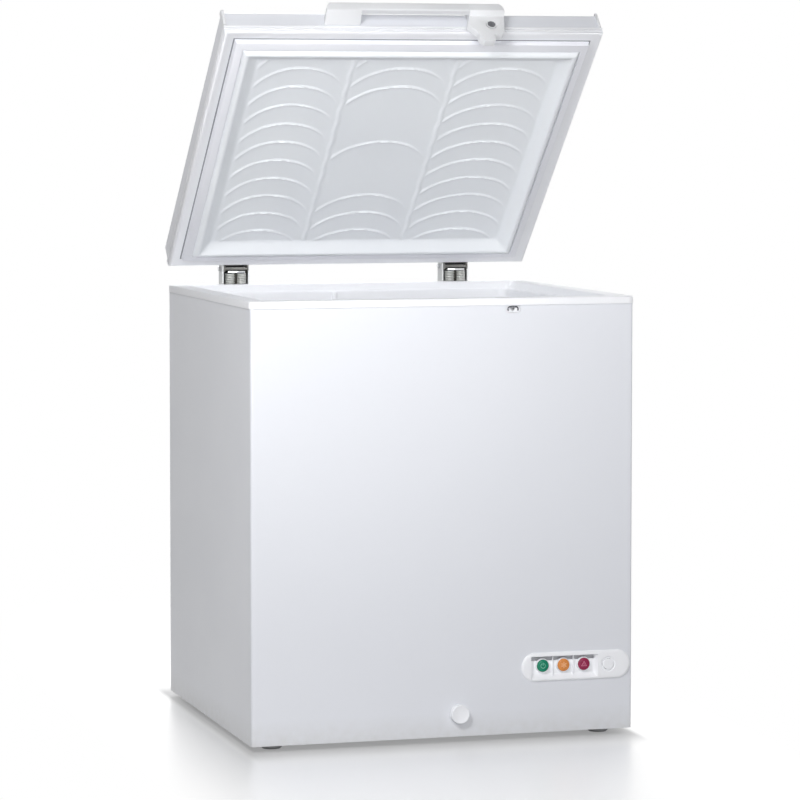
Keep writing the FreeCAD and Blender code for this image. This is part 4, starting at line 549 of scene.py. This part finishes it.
def pressed_relief(x, v):
    """How far the panel stands proud at places given across and from the lid's rear edge, in mm."""
    proud = np.zeros_like(x)
    for apex, left_reach, rows in arc_columns:
        across = x - apex
        reach = np.where(across < 0, left_reach / 0.85, arc_right_reach)
        drop = np.where(across < 0, arc_left_drop, arc_right_drop)
        side = np.clip(np.abs(across) / reach, 0, 0.985)
        fade = smooth_step(np.clip((arc_right_reach - across) / 62, 0, 1))
        start = np.clip((across + left_reach + 4) / 6, 0, 1)
        inside = (across > -left_reach - 4) & (across < arc_right_reach - 2)
        slope = drop / reach * side / np.sqrt(1 - side ** 2)
        for row in rows:
            line = arc_tops[row] - drop * (1 - np.sqrt(1 - side ** 2))
            distance = (v - line) / np.sqrt(1 + slope ** 2)
            bead = 2.1 * np.exp(-(distance / 2.1) ** 2)
            step = 0.9 * np.exp(np.minimum(distance, 0) / 16) * (distance < 0)
            proud += np.where(inside, (bead + step) * (0.12 + 0.88 * fade) * start, 0)
    for trunk in trunks:
        sway = 1.2 * np.sin(v / 52.4 * 2 * math.pi)
        proud = np.maximum(proud, 2.4 * np.exp(-((x - trunk - sway) / 4.2) ** 2))
    return proud


lines_x = liner_lines(rim_half_x, 262)
lines_y = liner_lines(rim_half_y, 228)
bpy.ops.object.select_all(action="DESELECT")
bpy.ops.mesh.primitive_grid_add(x_subdivisions=len(lines_x) - 1, y_subdivisions=len(lines_y) - 1, size=2.0,
                                location=(0, 0, 0))
lid_liner = bpy.context.object
lid_liner.name = "lid_inner_panel"
spots = np.zeros(len(lid_liner.data.vertices) * 3, np.float32)
lid_liner.data.vertices.foreach_get("co", spots)
spots = spots.reshape(-1, 3)
column = np.rint((spots[:, 0] + 1) / 2 * (len(lines_x) - 1)).astype(int)
line = np.rint((spots[:, 1] + 1) / 2 * (len(lines_y) - 1)).astype(int)
x = lines_x[column]
y = lines_y[line]
inset = np.minimum(rim_half_x - np.abs(x), rim_half_y - np.abs(y))
flat = smooth_step(np.clip((inset - 75.5) / 4, 0, 1))
proud = np.interp(inset, ridge_insets, ridge_heights) + pressed_relief(x, rim_half_y - y) * flat
lid_underside = 863.3
spots[:, 0] = x / 1000
spots[:, 1] = (y - 15.5) / 1000
spots[:, 2] = (lid_underside - proud) / 1000
lid_liner.data.vertices.foreach_set("co", spots.ravel())
lid_liner.data.update()
bpy.ops.object.mode_set(mode="EDIT")
bpy.ops.mesh.select_mode(type="EDGE")
bpy.ops.mesh.select_all(action="DESELECT")
bpy.ops.mesh.select_non_manifold(extend=False)
bpy.ops.mesh.extrude_edges_move(TRANSFORM_OT_translate={"value": (0, 0, 0.0112)})
bpy.ops.mesh.edge_face_add()
bpy.ops.mesh.select_all(action="SELECT")
bpy.ops.mesh.normals_make_consistent(inside=False)
bpy.ops.object.mode_set(mode="OBJECT")
on_lid(lid_liner, panel_plastic, "lid_liner", angle=50)


# Handle, lock housing and corner caps
# Moulded in pale plastic with soft edges: the grip bar with its left end block, the housing that
# carries the lock on the right, and two thin caps that cover the pan's front corners.
def softened(node, name, width, segments=3, angle=30):
    """A copy of a CAD piece with its edges rounded, as a mould would leave them."""
    bpy.ops.object.select_all(action="DESELECT")
    piece = frame["nodes"][node].copy()
    piece.data = piece.data.copy()
    piece.name = name
    piece.parent = None
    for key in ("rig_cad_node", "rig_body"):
        if key in piece:
            del piece[key]
    bpy.context.collection.objects.link(piece)
    piece.select_set(True)
    bpy.context.view_layer.objects.active = piece
    bpy.ops.object.mode_set(mode="EDIT")
    bpy.ops.mesh.select_all(action="SELECT")
    bpy.ops.mesh.remove_doubles(threshold=0.00001)
    bpy.ops.mesh.dissolve_limited(angle_limit=math.radians(1.0))
    bpy.ops.mesh.normals_make_consistent(inside=False)
    bpy.ops.object.mode_set(mode="OBJECT")
    rounding = piece.modifiers.new("rounding", "BEVEL")
    rounding.width = width
    rounding.segments = segments
    rounding.limit_method = "ANGLE"
    rounding.angle_limit = math.radians(angle)
    bpy.ops.object.modifier_apply(modifier="rounding")
    return piece


handle_plastic = finish("handle_plastic", tint(230, 231, 233), tint(225, 226, 229), 0.36, 1500.0, 0.06)
settle(softened("lid_handle", "lid_handle_moulding", 0.0022, 4), handle_plastic, "lid", "lid_handle")
settle(softened("lock_housing", "lock_housing_moulding", 0.0012, 3), handle_plastic, "lid", "lock_housing")
for side in ("left", "right"):
    cap = softened("lid_cap_" + side, "lid_cap_%s_moulding" % side, 0.0009, 3)
    pan_side = rim_half_x / 1000
    for vertex in cap.data.vertices:
        past = abs(vertex.co.x) - pan_side
        vertex.co.x = math.copysign(pan_side + past * (0.12 if past > 0 else 0.62), vertex.co.x)
    settle(cap, handle_plastic, "lid", "lid_cap_" + side)


# Lock
# A plated brass key barrel with a dark face and a narrow slot, and the steel bolt that it throws
# through the hole in the strike plate behind the keeper recess.
chrome = finish("bright_plating", tint(222, 224, 226), tint(205, 206, 208), 0.12, 2500.0, 0.03, metallic=1.0,
                patch=20.0)
face_grey = finish("lock_face_grey", tint(118, 119, 124), tint(96, 97, 102), 0.35, 1800.0, 0.08, metallic=0.5)
lock_x, lock_z = 147, 866


def front_disc(name, place, radius, depth, vertices=64):
    """A round blank with its face to the front and its middle at a place."""
    bpy.ops.object.select_all(action="DESELECT")
    bpy.ops.mesh.primitive_cylinder_add(vertices=vertices, radius=radius, depth=depth, location=place,
                                        rotation=(math.radians(90), 0, 0))
    disc = bpy.context.object
    disc.name = name
    bpy.ops.object.transform_apply(location=True, rotation=True, scale=True)
    return disc


def pick_faces(piece, rule):
    """In edit mode, select the faces that the rule holds for and no others."""
    bpy.ops.mesh.select_mode(type="FACE")
    bpy.ops.mesh.select_all(action="DESELECT")
    mesh = bmesh.from_edit_mesh(piece.data)
    for face in mesh.faces:
        face.select = rule(face)
    bmesh.update_edit_mesh(piece.data)


def at_front(face):
    """The face looks to the front."""
    return face.normal.y < -0.9


def step_inwards(steps):
    """Inset the picked face several times, each time by a width and a rise."""
    for width, rise in steps:
        bpy.ops.mesh.inset(thickness=width, depth=rise)


def use_tool(piece, tool, operation="DIFFERENCE"):
    """Cut the tool's shape out of the piece, or weld it on with UNION, and throw the tool away."""
    work = piece.modifiers.new("tool", "BOOLEAN")
    work.object = tool
    work.operation = operation
    bpy.ops.object.select_all(action="DESELECT")
    bpy.context.view_layer.objects.active = piece
    bpy.ops.object.modifier_apply(modifier="tool")
    bpy.data.objects.remove(tool)


key_ring = front_disc("key_barrel_rim", at(lock_x, -357.8, lock_z), 0.0102, 0.0058)
bpy.ops.object.mode_set(mode="EDIT")
pick_faces(key_ring, at_front)
step_inwards([(0.0007, 0.0004), (0.0016, 0.0), (0.0005, -0.0016)])
bpy.ops.object.mode_set(mode="OBJECT")
on_lid(key_ring, chrome, "lock_cylinder", body="lock_barrel")

key_face = front_disc("key_barrel_face", at(lock_x, -359.6, lock_z), 0.0073, 0.0028, 48)
bpy.ops.object.select_all(action="DESELECT")
bpy.ops.mesh.primitive_cube_add(size=1.0, location=at(lock_x, -361.2, lock_z), scale=(0.0018, 0.004, 0.0088),
                                rotation=(0, math.radians(-28), 0))
use_tool(key_face, bpy.context.object)
on_lid(key_face, face_grey, body="lock_barrel")
paint(chrome, "lock_bolt")


# Keeper recess
# A small oval cup of white plastic is let into the front sheet under the rim; the plated strike
# plate stands in its mouth with a rolled rim, and the lock's bolt goes through its hole. The rim's
# plating is darkened: a painted reflection of the dark arcs that curved chrome shows.
recess_plastic = finish("recess_plastic", tint(232, 233, 237), tint(222, 223, 228), 0.4, 1500.0, 0.06)
paint(recess_plastic, "keeper_cup")
strike_steel = finish("strike_plating", tint(236, 237, 240), tint(214, 215, 219), 0.36, 600.0, 0.1,
                      metallic=0.25, patch=90.0)
paint(strike_steel, "lock_strike")
# The rolled rim's plating is darkened: a painted reflection of the dark surroundings in curved chrome.
loop_painted_reflection = finish("strike_loop_painted_reflection", tint(104, 105, 110), tint(84, 85, 90), 0.2, 900.0, 0.08,
                   metallic=1.0)
keeper_x, keeper_z = 136.7, 828


def stretch_sides(piece, middle, amount):
    """Move the two halves of a round piece apart, which leaves straight runs between them."""
    for vertex in piece.data.vertices:
        if abs(vertex.co.x - middle) > 0.0001:
            vertex.co.x += math.copysign(amount, vertex.co.x - middle)


def cut_away(piece, rule):
    """Remove the faces that the rule holds for, and close the cut ends."""
    bpy.ops.object.mode_set(mode="EDIT")
    pick_faces(piece, rule)
    bpy.ops.mesh.delete(type="FACE")
    bpy.ops.mesh.select_mode(type="EDGE")
    bpy.ops.mesh.select_non_manifold(extend=False)
    bpy.ops.mesh.edge_face_add()
    bpy.ops.object.mode_set(mode="OBJECT")


def pick_edges(piece, rule):
    """In edit mode, select the edges whose direction the rule holds for and no others."""
    bpy.ops.mesh.select_mode(type="EDGE")
    bpy.ops.mesh.select_all(action="DESELECT")
    mesh = bmesh.from_edit_mesh(piece.data)
    for edge in mesh.edges:
        edge.select = rule(edge.verts[1].co - edge.verts[0].co)
    bmesh.update_edit_mesh(piece.data)


bpy.ops.object.select_all(action="DESELECT")
bpy.ops.mesh.primitive_torus_add(major_segments=64, minor_segments=12, major_radius=0.0046,
                                 minor_radius=0.0015, location=at(keeper_x, -336.0, keeper_z),
                                 rotation=(math.radians(90), 0, 0))
strike_loop = bpy.context.object
strike_loop.name = "strike_loop"
bpy.ops.object.transform_apply(location=True, rotation=True, scale=True)
stretch_sides(strike_loop, keeper_x / 1000, 0.0058)
cut_away(strike_loop, lambda face: face.calc_center_median().z < 0.8252)
settle(strike_loop, loop_painted_reflection, "cabinet", angle=60)

keeper_dish = front_disc("keeper_dish", at(keeper_x, -336.0, keeper_z), 0.0066, 0.0010, 96)
stretch_sides(keeper_dish, keeper_x / 1000, 0.0080)
bpy.ops.object.select_all(action="DESELECT")
bpy.ops.mesh.primitive_cube_add(size=1.0, location=at(keeper_x, -336.6, keeper_z),
                                scale=(0.0222, 0.004, 0.0096))
opening = bpy.context.object
bpy.ops.object.mode_set(mode="EDIT")
pick_edges(opening, lambda along: abs(along.y) > 0.5)
bpy.ops.mesh.bevel(offset=0.004, segments=6)
bpy.ops.object.mode_set(mode="OBJECT")
use_tool(keeper_dish, opening)
settle(keeper_dish, recess_plastic, "cabinet", angle=30)


# Control panel
# A white moulding with round ends, glued and clipped over its hole in the front sheet. A sunk window
# with sloping sides holds three round lamps in collars, and a shallow dish holds the knob. The tub
# behind it, which keeps the foam off the parts, is pale plastic like the keeper recess.
panel_white = finish("control_panel_plastic", tint(250, 251, 254), tint(246, 247, 251), 0.36, 1700.0, 0.05)
# A darker grey for the gap over the lamps: painted shade under the window's top edge.
lamp_gap_painted_shade = finish("lamp_gap_painted_shade", tint(196, 197, 201), tint(186, 187, 192), 0.5, 1700.0, 0.05)
panel_x, panel_z = 264.9, 138.5
knob_x, knob_z = 330, 139
lamp_z = 140.8
lamp_places = {"power_lamp": 197.5, "quick_freeze_button": 239.4, "alarm_lamp": 281.0}


def block(corner, opposite):
    """A plain box between two corners in millimetres."""
    bpy.ops.object.select_all(action="DESELECT")
    bpy.ops.mesh.primitive_cube_add(size=1.0, location=(at(*corner) + at(*opposite)) / 2,
                                    scale=[abs(a - b) / 1000 for a, b in zip(corner, opposite)])
    bpy.ops.object.transform_apply(location=True, rotation=True, scale=True)
    return bpy.context.object


bpy.ops.object.select_all(action="DESELECT")
bpy.ops.mesh.primitive_circle_add(vertices=96, radius=0.0278, fill_type="NGON",
                                  location=at(panel_x, -338, panel_z), rotation=(math.radians(90), 0, 0))
bezel = bpy.context.object
bezel.name = "control_panel_moulding"
bpy.ops.object.transform_apply(location=True, rotation=True, scale=True)
stretch_sides(bezel, panel_x / 1000, 0.0825)
bpy.ops.object.mode_set(mode="EDIT")
bpy.ops.mesh.select_mode(type="FACE")
bpy.ops.mesh.select_all(action="SELECT")
bpy.ops.mesh.extrude_region_move(TRANSFORM_OT_translate={"value": (0, -0.0018, 0)})
step_inwards([(0.0008, 0.0009), (0.0012, 0.0007), (0.0018, 0.0005), (0.0030, 0.0001)])
bpy.ops.mesh.select_all(action="SELECT")
bpy.ops.mesh.normals_make_consistent(inside=False)
bpy.ops.object.mode_set(mode="OBJECT")

window_tray = block((172.0, -338.4, 117.4), (311.8, -333.2, 159.7))
use_tool(bezel, window_tray, "UNION")
gap_tray = block((173.6, -334.0, 148.9), (309.2, -326.8, 159.5))
use_tool(bezel, gap_tray, "UNION")

# The window is smaller at its floor than at its mouth, which gives the sloping sides.
window = block((173.2, -343.0, 113.2), (310.6, -334.4, 159.0))
for vertex in window.data.vertices:
    if vertex.co.y > at(0, -336, 0).y:
        if vertex.co.z < 0.130:
            vertex.co.z += 0.0112
        vertex.co.x += 0.0012 if vertex.co.x < 0.25 else -0.0085
bpy.ops.object.mode_set(mode="EDIT")
pick_edges(window, lambda along: abs(along.y) > 0.004)
bpy.ops.mesh.bevel(offset=0.0022, segments=4)
bpy.ops.object.mode_set(mode="OBJECT")
use_tool(bezel, window)
gap_over_lamps = block((174.6, -337.0, 150.2), (303.4, -328.8, 158.9))
use_tool(bezel, gap_over_lamps)
for across in lamp_places.values():
    use_tool(bezel, front_disc("lamp_hole", at(across, -336, lamp_z), 0.0122, 0.02))
bpy.ops.object.select_all(action="DESELECT")
bpy.ops.mesh.primitive_cone_add(vertices=64, radius1=0.0130, radius2=0.0170, depth=0.003,
                                location=at(knob_x, -341.9, knob_z), rotation=(math.radians(90), 0, 0))
use_tool(bezel, bpy.context.object)
use_tool(bezel, front_disc("knob_hole", at(knob_x, -340, knob_z), 0.0109, 0.02))
settle(bezel, panel_white, "cabinet", "control_bezel", angle=28)
# The inner faces of the gap over the lamps take the darker grey: painted shade under the window's top edge.
bezel.data.materials.append(lamp_gap_painted_shade)
for face in bezel.data.polygons:
    if face.center.y > at(0, -334.3, 0).y and 0.1495 < face.center.z < 0.1595:
        face.material_index = 1
paint(recess_plastic, "control_box")


# Lamp collars and window ribs
# Part of the same moulding: a thin raised ring round each lamp, and two thin ribs that stand on the
# window's floor between the lamps.
for name, across in lamp_places.items():
    collar_middle = at(across, -337, lamp_z)
    collar = front_disc(name + "_collar", collar_middle, 0.0140, 0.0052)
    bpy.ops.object.mode_set(mode="EDIT")
    pick_faces(collar, at_front)
    bpy.ops.transform.resize(value=(0.935, 1.0, 0.935), center_override=collar_middle)
    step_inwards([(0.0003, 0.0002)])
    bpy.ops.object.mode_set(mode="OBJECT")
    use_tool(collar, front_disc("lamp_hole", collar_middle, 0.0122, 0.02))
    settle(collar, panel_white, "cabinet", angle=28)
for index, across in enumerate((218.4, 260.2)):
    rib = block((across - 0.6, -338.6, 120.8), (across + 0.6, -333.8, 158.8))
    rib.name = "window_rib_%d" % index
    bpy.ops.object.mode_set(mode="EDIT")
    bpy.ops.mesh.select_all(action="SELECT")
    bpy.ops.mesh.bevel(offset=0.0003, segments=2)
    bpy.ops.object.mode_set(mode="OBJECT")
    settle(rib, panel_white, "cabinet")


# Lamps and quick-freeze button
# Clear tinted plastic lenses, green for power, amber for quick freezing and red for the alarm.
# Each has its common sign moulded on the face: an on mark, a frost star and a warning triangle. The
# amber one is the button, and its switch and the lamp board sit behind.
def lens(name, deep, bright):
    """Tinted plastic over a moulded prism pattern."""
    made = finish(name, deep, bright, 0.22, 900.0, 0.1, patch=160.0)
    tree = made.node_tree
    tree.nodes["Principled BSDF"].inputs["Specular IOR Level"].default_value = 0.25
    prism = tree.nodes.new("ShaderNodeTexVoronoi")
    prism.inputs["Scale"].default_value = 420.0
    tree.links.new(tree.nodes.new("ShaderNodeTexCoord").outputs["Object"], prism.inputs["Vector"])
    emboss(tree, prism.outputs["Distance"], 0.25, 0.0004)
    return made


lens_tones = {
    "power_lamp": (tint(0, 120, 90), tint(2, 138, 106), tint(176, 242, 220)),
    "quick_freeze_button": (tint(216, 132, 62), tint(232, 152, 80), tint(252, 214, 172)),
    "alarm_lamp": (tint(138, 22, 64), tint(156, 34, 80), tint(232, 150, 180)),
}
lens_bodies = {"power_lamp": "cabinet", "quick_freeze_button": "quick_freeze_button", "alarm_lamp": "cabinet"}


def at_back(face):
    """The face looks to the back."""
    return face.normal.y > 0.9


def bar(place, length, thick, turn):
    """A thin raised stroke on a lens, turned about the lens's axis."""
    bpy.ops.mesh.primitive_cube_add(size=1.0, location=place, scale=(thick, 0.0005, length),
                                    rotation=(0, turn, 0))
    return bpy.context.object


def power_mark(middle):
    """An open ring with a stroke through the gap."""
    bpy.ops.mesh.primitive_torus_add(major_segments=40, minor_segments=8, major_radius=0.0046,
                                     minor_radius=0.0008, location=middle, rotation=(math.radians(90), 0, 0))
    loop = bpy.context.object
    bpy.ops.object.transform_apply(location=True, rotation=True, scale=True)

    def in_gap(face):
        here = face.calc_center_median() - middle
        return here.z > 0 and abs(here.x) < 0.0022

    cut_away(loop, in_gap)
    return [loop, bar(middle + Vector((0, -0.0001, 0.0032)), 0.0056, 0.0015, 0)]


def frost_mark(middle):
    """A six-armed star of three strokes with short side strokes."""
    strokes = []
    for index in range(3):
        turn = math.radians(60 * index)
        middle = middle + Vector((0, -0.00003, 0))
        strokes.append(bar(middle, 0.0124, 0.0012, turn))
        middle = middle + Vector((0, -0.00003, 0))
        for hand in (-1, 1):
            arm = Vector((math.sin(turn), 0, math.cos(turn))) * 0.0038 * hand
            strokes.append(bar(middle + arm, 0.0038, 0.0009, turn + math.radians(90)))
    return strokes


def alarm_mark(middle):
    """A triangle outline with a stroke inside."""
    strokes = []
    for index in range(3):
        turn = math.radians(120 * index)
        side = Vector((math.sin(turn), 0, -math.cos(turn))) * 0.0029 + Vector((0, -0.00003 * index, 0))
        strokes.append(bar(middle + side + Vector((0, 0, -0.0006)), 0.0108, 0.0013, math.radians(90) - turn))
    strokes.append(bar(middle + Vector((0, 0, -0.0004)), 0.0036, 0.0013, 0))
    return strokes


marks = {"power_lamp": power_mark, "quick_freeze_button": frost_mark, "alarm_lamp": alarm_mark}
for name, across in lamp_places.items():
    deep, bright, pale = lens_tones[name]
    is_button = name == "quick_freeze_button"
    lift, thick = (1.0, 5.4) if is_button else (0.0, 7.4)
    cap = front_disc(name + "_lens", at(across, -339.9 - lift + thick / 2, lamp_z), 0.0119, thick / 1000)
    bpy.ops.object.mode_set(mode="EDIT")
    pick_faces(cap, at_front)
    step_inwards([(0.0008, 0.0005), (0.0014, 0.0004), (0.0024, 0.0003), (0.0034, 0.0002)])
    pick_faces(cap, at_back)
    step_inwards([(0.0019, 0.0)])
    if not is_button:
        bpy.ops.mesh.extrude_region_move(TRANSFORM_OT_translate={"value": (0, 0.019, 0)})
    bpy.ops.object.mode_set(mode="OBJECT")
    settle(cap, lens(name + "_tint", deep, bright), lens_bodies[name], name)
    bpy.ops.object.select_all(action="DESELECT")
    sign = joined(marks[name](at(across, -341.35 - lift, lamp_z)), name + "_sign")
    settle(sign, finish(name + "_sign_tint", pale, bright, 0.36, 900.0, 0.05), lens_bodies[name])
paint(nylon, "quick_freeze_switch")
board_green = finish("board_lacquer", tint(28, 92, 58), tint(22, 76, 50), 0.36, 300.0, 0.2, patch=120.0)
paint(board_green, "lamp_board")


# Thermostat knob
# A white disc nearly flush in its dish, with a fine coin slot; its rim is softly rounded. The
# thermostat that it turns sits behind the panel in a black nylon case.
knob = front_disc("thermostat_disc", at(knob_x, -339, knob_z), 0.0104, 0.008)
bpy.ops.object.mode_set(mode="EDIT")
pick_faces(knob, at_front)
step_inwards([(0.0003, 0.00022), (0.0004, 0.00012), (0.0006, 0.00006)])
bpy.ops.object.mode_set(mode="OBJECT")
bpy.ops.object.select_all(action="DESELECT")
bpy.ops.mesh.primitive_cube_add(size=1.0, location=at(knob_x, -343.6, knob_z),
                                scale=(0.0148, 0.0022, 0.0012), rotation=(0, math.radians(38), 0))
use_tool(knob, bpy.context.object)
settle(knob, panel_white, "thermostat_knob", "thermostat_knob", angle=28)
paint(nylon, "thermostat_body")


# Drain
# A white screw cap closes the drain pipe at the front; a black rubber plug closes it in the well.
# The nylon pipe between them runs through the foam.
drain_cap = front_disc("drain_cap_moulding", at(29, -344.1, 56), 0.0178, 0.0115, 80)
bpy.ops.object.mode_set(mode="EDIT")
pick_faces(drain_cap, at_front)
step_inwards([(0.0002, 0.0005), (0.0004, 0.0004), (0.0005, 0.0002), (0.0009, 0.00004), (0.0004, -0.0003),
              (0.0006, -0.0002)])
pick_faces(drain_cap, at_back)
step_inwards([(0.0101, 0.0)])
bpy.ops.mesh.extrude_region_move(TRANSFORM_OT_translate={"value": (0, 0.060, 0)})
bpy.ops.object.mode_set(mode="OBJECT")
settle(drain_cap, panel_white, "drain_cap", "drain_cap", angle=28)
paint(nylon, "drain_tube")
rubber = finish("black_rubber", tint(26, 26, 27), tint(52, 51, 49), 0.75, 1400.0, 0.25)
paint(rubber, "drain_plug")


# Side grille
# A slotted white moulding clipped over the opening in the right side of the cabinet, which lets air
# through to the compressor.
paint(panel_white, "side_grille")


# Compressor and its fittings
# A black-painted steel shell on rubber grommets, with its starter box, copper filter and lines.
# It is bolted to two rails over the base tray.
shell_black = finish("shell_black", tint(24, 24, 26), tint(38, 38, 40), 0.35, 700.0, 0.1, coat=0.2)
copper = finish("copper_pipe", tint(196, 126, 86), tint(150, 92, 62), 0.22, 900.0, 0.08, metallic=1.0,
                patch=30.0)
paint(shell_black, "compressor")
paint(rubber, "compressor_grommets")
paint(nylon, "start_relay")
paint(copper, "filter_drier", "refrigerant_tubes")


# Counterbalance hinges
# Each is a folded zinc-plated channel screwed to the back, with the lid's leaf on a plated pin. A crank
# pin on the leaf bears on a pressure plate over two steel springs that stand side by side.
plated = finish("zinc_plating", tint(212, 214, 215), tint(188, 190, 191), 0.36, 900.0, 0.05, metallic=0.6)
leaf_steel = finish("leaf_steel", tint(150, 149, 146), tint(122, 121, 117), 0.36, 900.0, 0.06, metallic=0.7)
# A dark finish for the plunger's stem, also used as painted shade on the plunger's faces that look up.
stem_dark_and_painted_shade = finish("dark_stem_and_painted_shade", tint(62, 60, 56), tint(84, 82, 78), 0.4, 900.0, 0.08, metallic=0.8)
spring_steel = finish("spring_wire", tint(228, 229, 225), tint(200, 201, 197), 0.4, 1200.0, 0.05,
                      metallic=0.3, patch=60.0)
hinge_across = 0.2374
coil_offset, coil_radius, wire, turns = 0.0120, 0.0086, 0.0014, 26


def wound_coil(foot, rise):
    """A spring of closed turns round an upright line: the wire's round section, screwed upwards."""
    bpy.ops.object.select_all(action="DESELECT")
    bpy.ops.mesh.primitive_circle_add(vertices=8, radius=wire, fill_type="NOTHING",
                                      location=foot + Vector((coil_radius, 0, 0)),
                                      rotation=(math.radians(90), 0, 0))
    coil = bpy.context.object
    bpy.ops.object.transform_apply(location=False, rotation=True, scale=True)
    bpy.context.scene.cursor.location = foot
    bpy.ops.object.origin_set(type="ORIGIN_CURSOR")
    winding = coil.modifiers.new("winding", "SCREW")
    winding.axis = "Z"
    winding.angle = 2 * math.pi * turns
    winding.screw_offset = rise
    winding.steps = 20 * turns
    winding.render_steps = 20 * turns
    winding.use_merge_vertices = False
    bpy.ops.object.modifier_apply(modifier="winding")
    bpy.ops.object.mode_set(mode="EDIT")
    bpy.ops.mesh.select_mode(type="EDGE")
    bpy.ops.mesh.select_all(action="DESELECT")
    bpy.ops.mesh.select_non_manifold(extend=False)
    bpy.ops.mesh.edge_face_add()
    bpy.ops.mesh.select_all(action="SELECT")
    bpy.ops.mesh.normals_make_consistent(inside=False)
    bpy.ops.object.mode_set(mode="OBJECT")
    return coil


for hand, side in ((-1, "left"), (1, "right")):
    channel = softened("hinge_base_" + side, "hinge_channel_" + side, 0.0005, 2)
    settle(channel, plated, "cabinet", "hinge_base_" + side)
    arm = softened("hinge_leaf_" + side, "hinge_arm_" + side, 0.0004, 2)
    settle(arm, leaf_steel, "lid", "hinge_leaf_" + side)
    paint(chrome, "hinge_pin_" + side)
    paint(nylon, "hinge_bush_" + side)
    plunger = softened("hinge_follower_" + side, "hinge_plunger_" + side, 0.0003, 2)
    settle(plunger, chrome, "hinge_follower_" + side, "hinge_follower_" + side)
    # Below the head the plunger takes the dark finish. The faces that look up take it too, as painted shade
    # under the lid's leaf.
    plunger.data.materials.append(stem_dark_and_painted_shade)
    for face in plunger.data.polygons:
        if face.center.z < 0.8690 or face.normal.z > 0.7:
            face.material_index = 1
    coil_low, coil_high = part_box("hinge_springs_" + side)
    coils = []
    for offset in (-coil_offset, coil_offset):
        foot = Vector((hand * hinge_across + offset, (coil_low.y + coil_high.y) / 2, coil_low.z + wire))
        coils.append(wound_coil(foot, coil_high.z - coil_low.z - 2 * wire))
    bpy.context.scene.cursor.location = (0, 0, 0)
    springs = joined(coils, "hinge_coils_" + side)
    bpy.ops.object.transform_apply(location=True, rotation=True, scale=True)
    bpy.ops.object.shade_smooth()
    springs.data.materials.append(spring_steel)
    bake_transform(springs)
    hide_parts("hinge_springs_" + side)
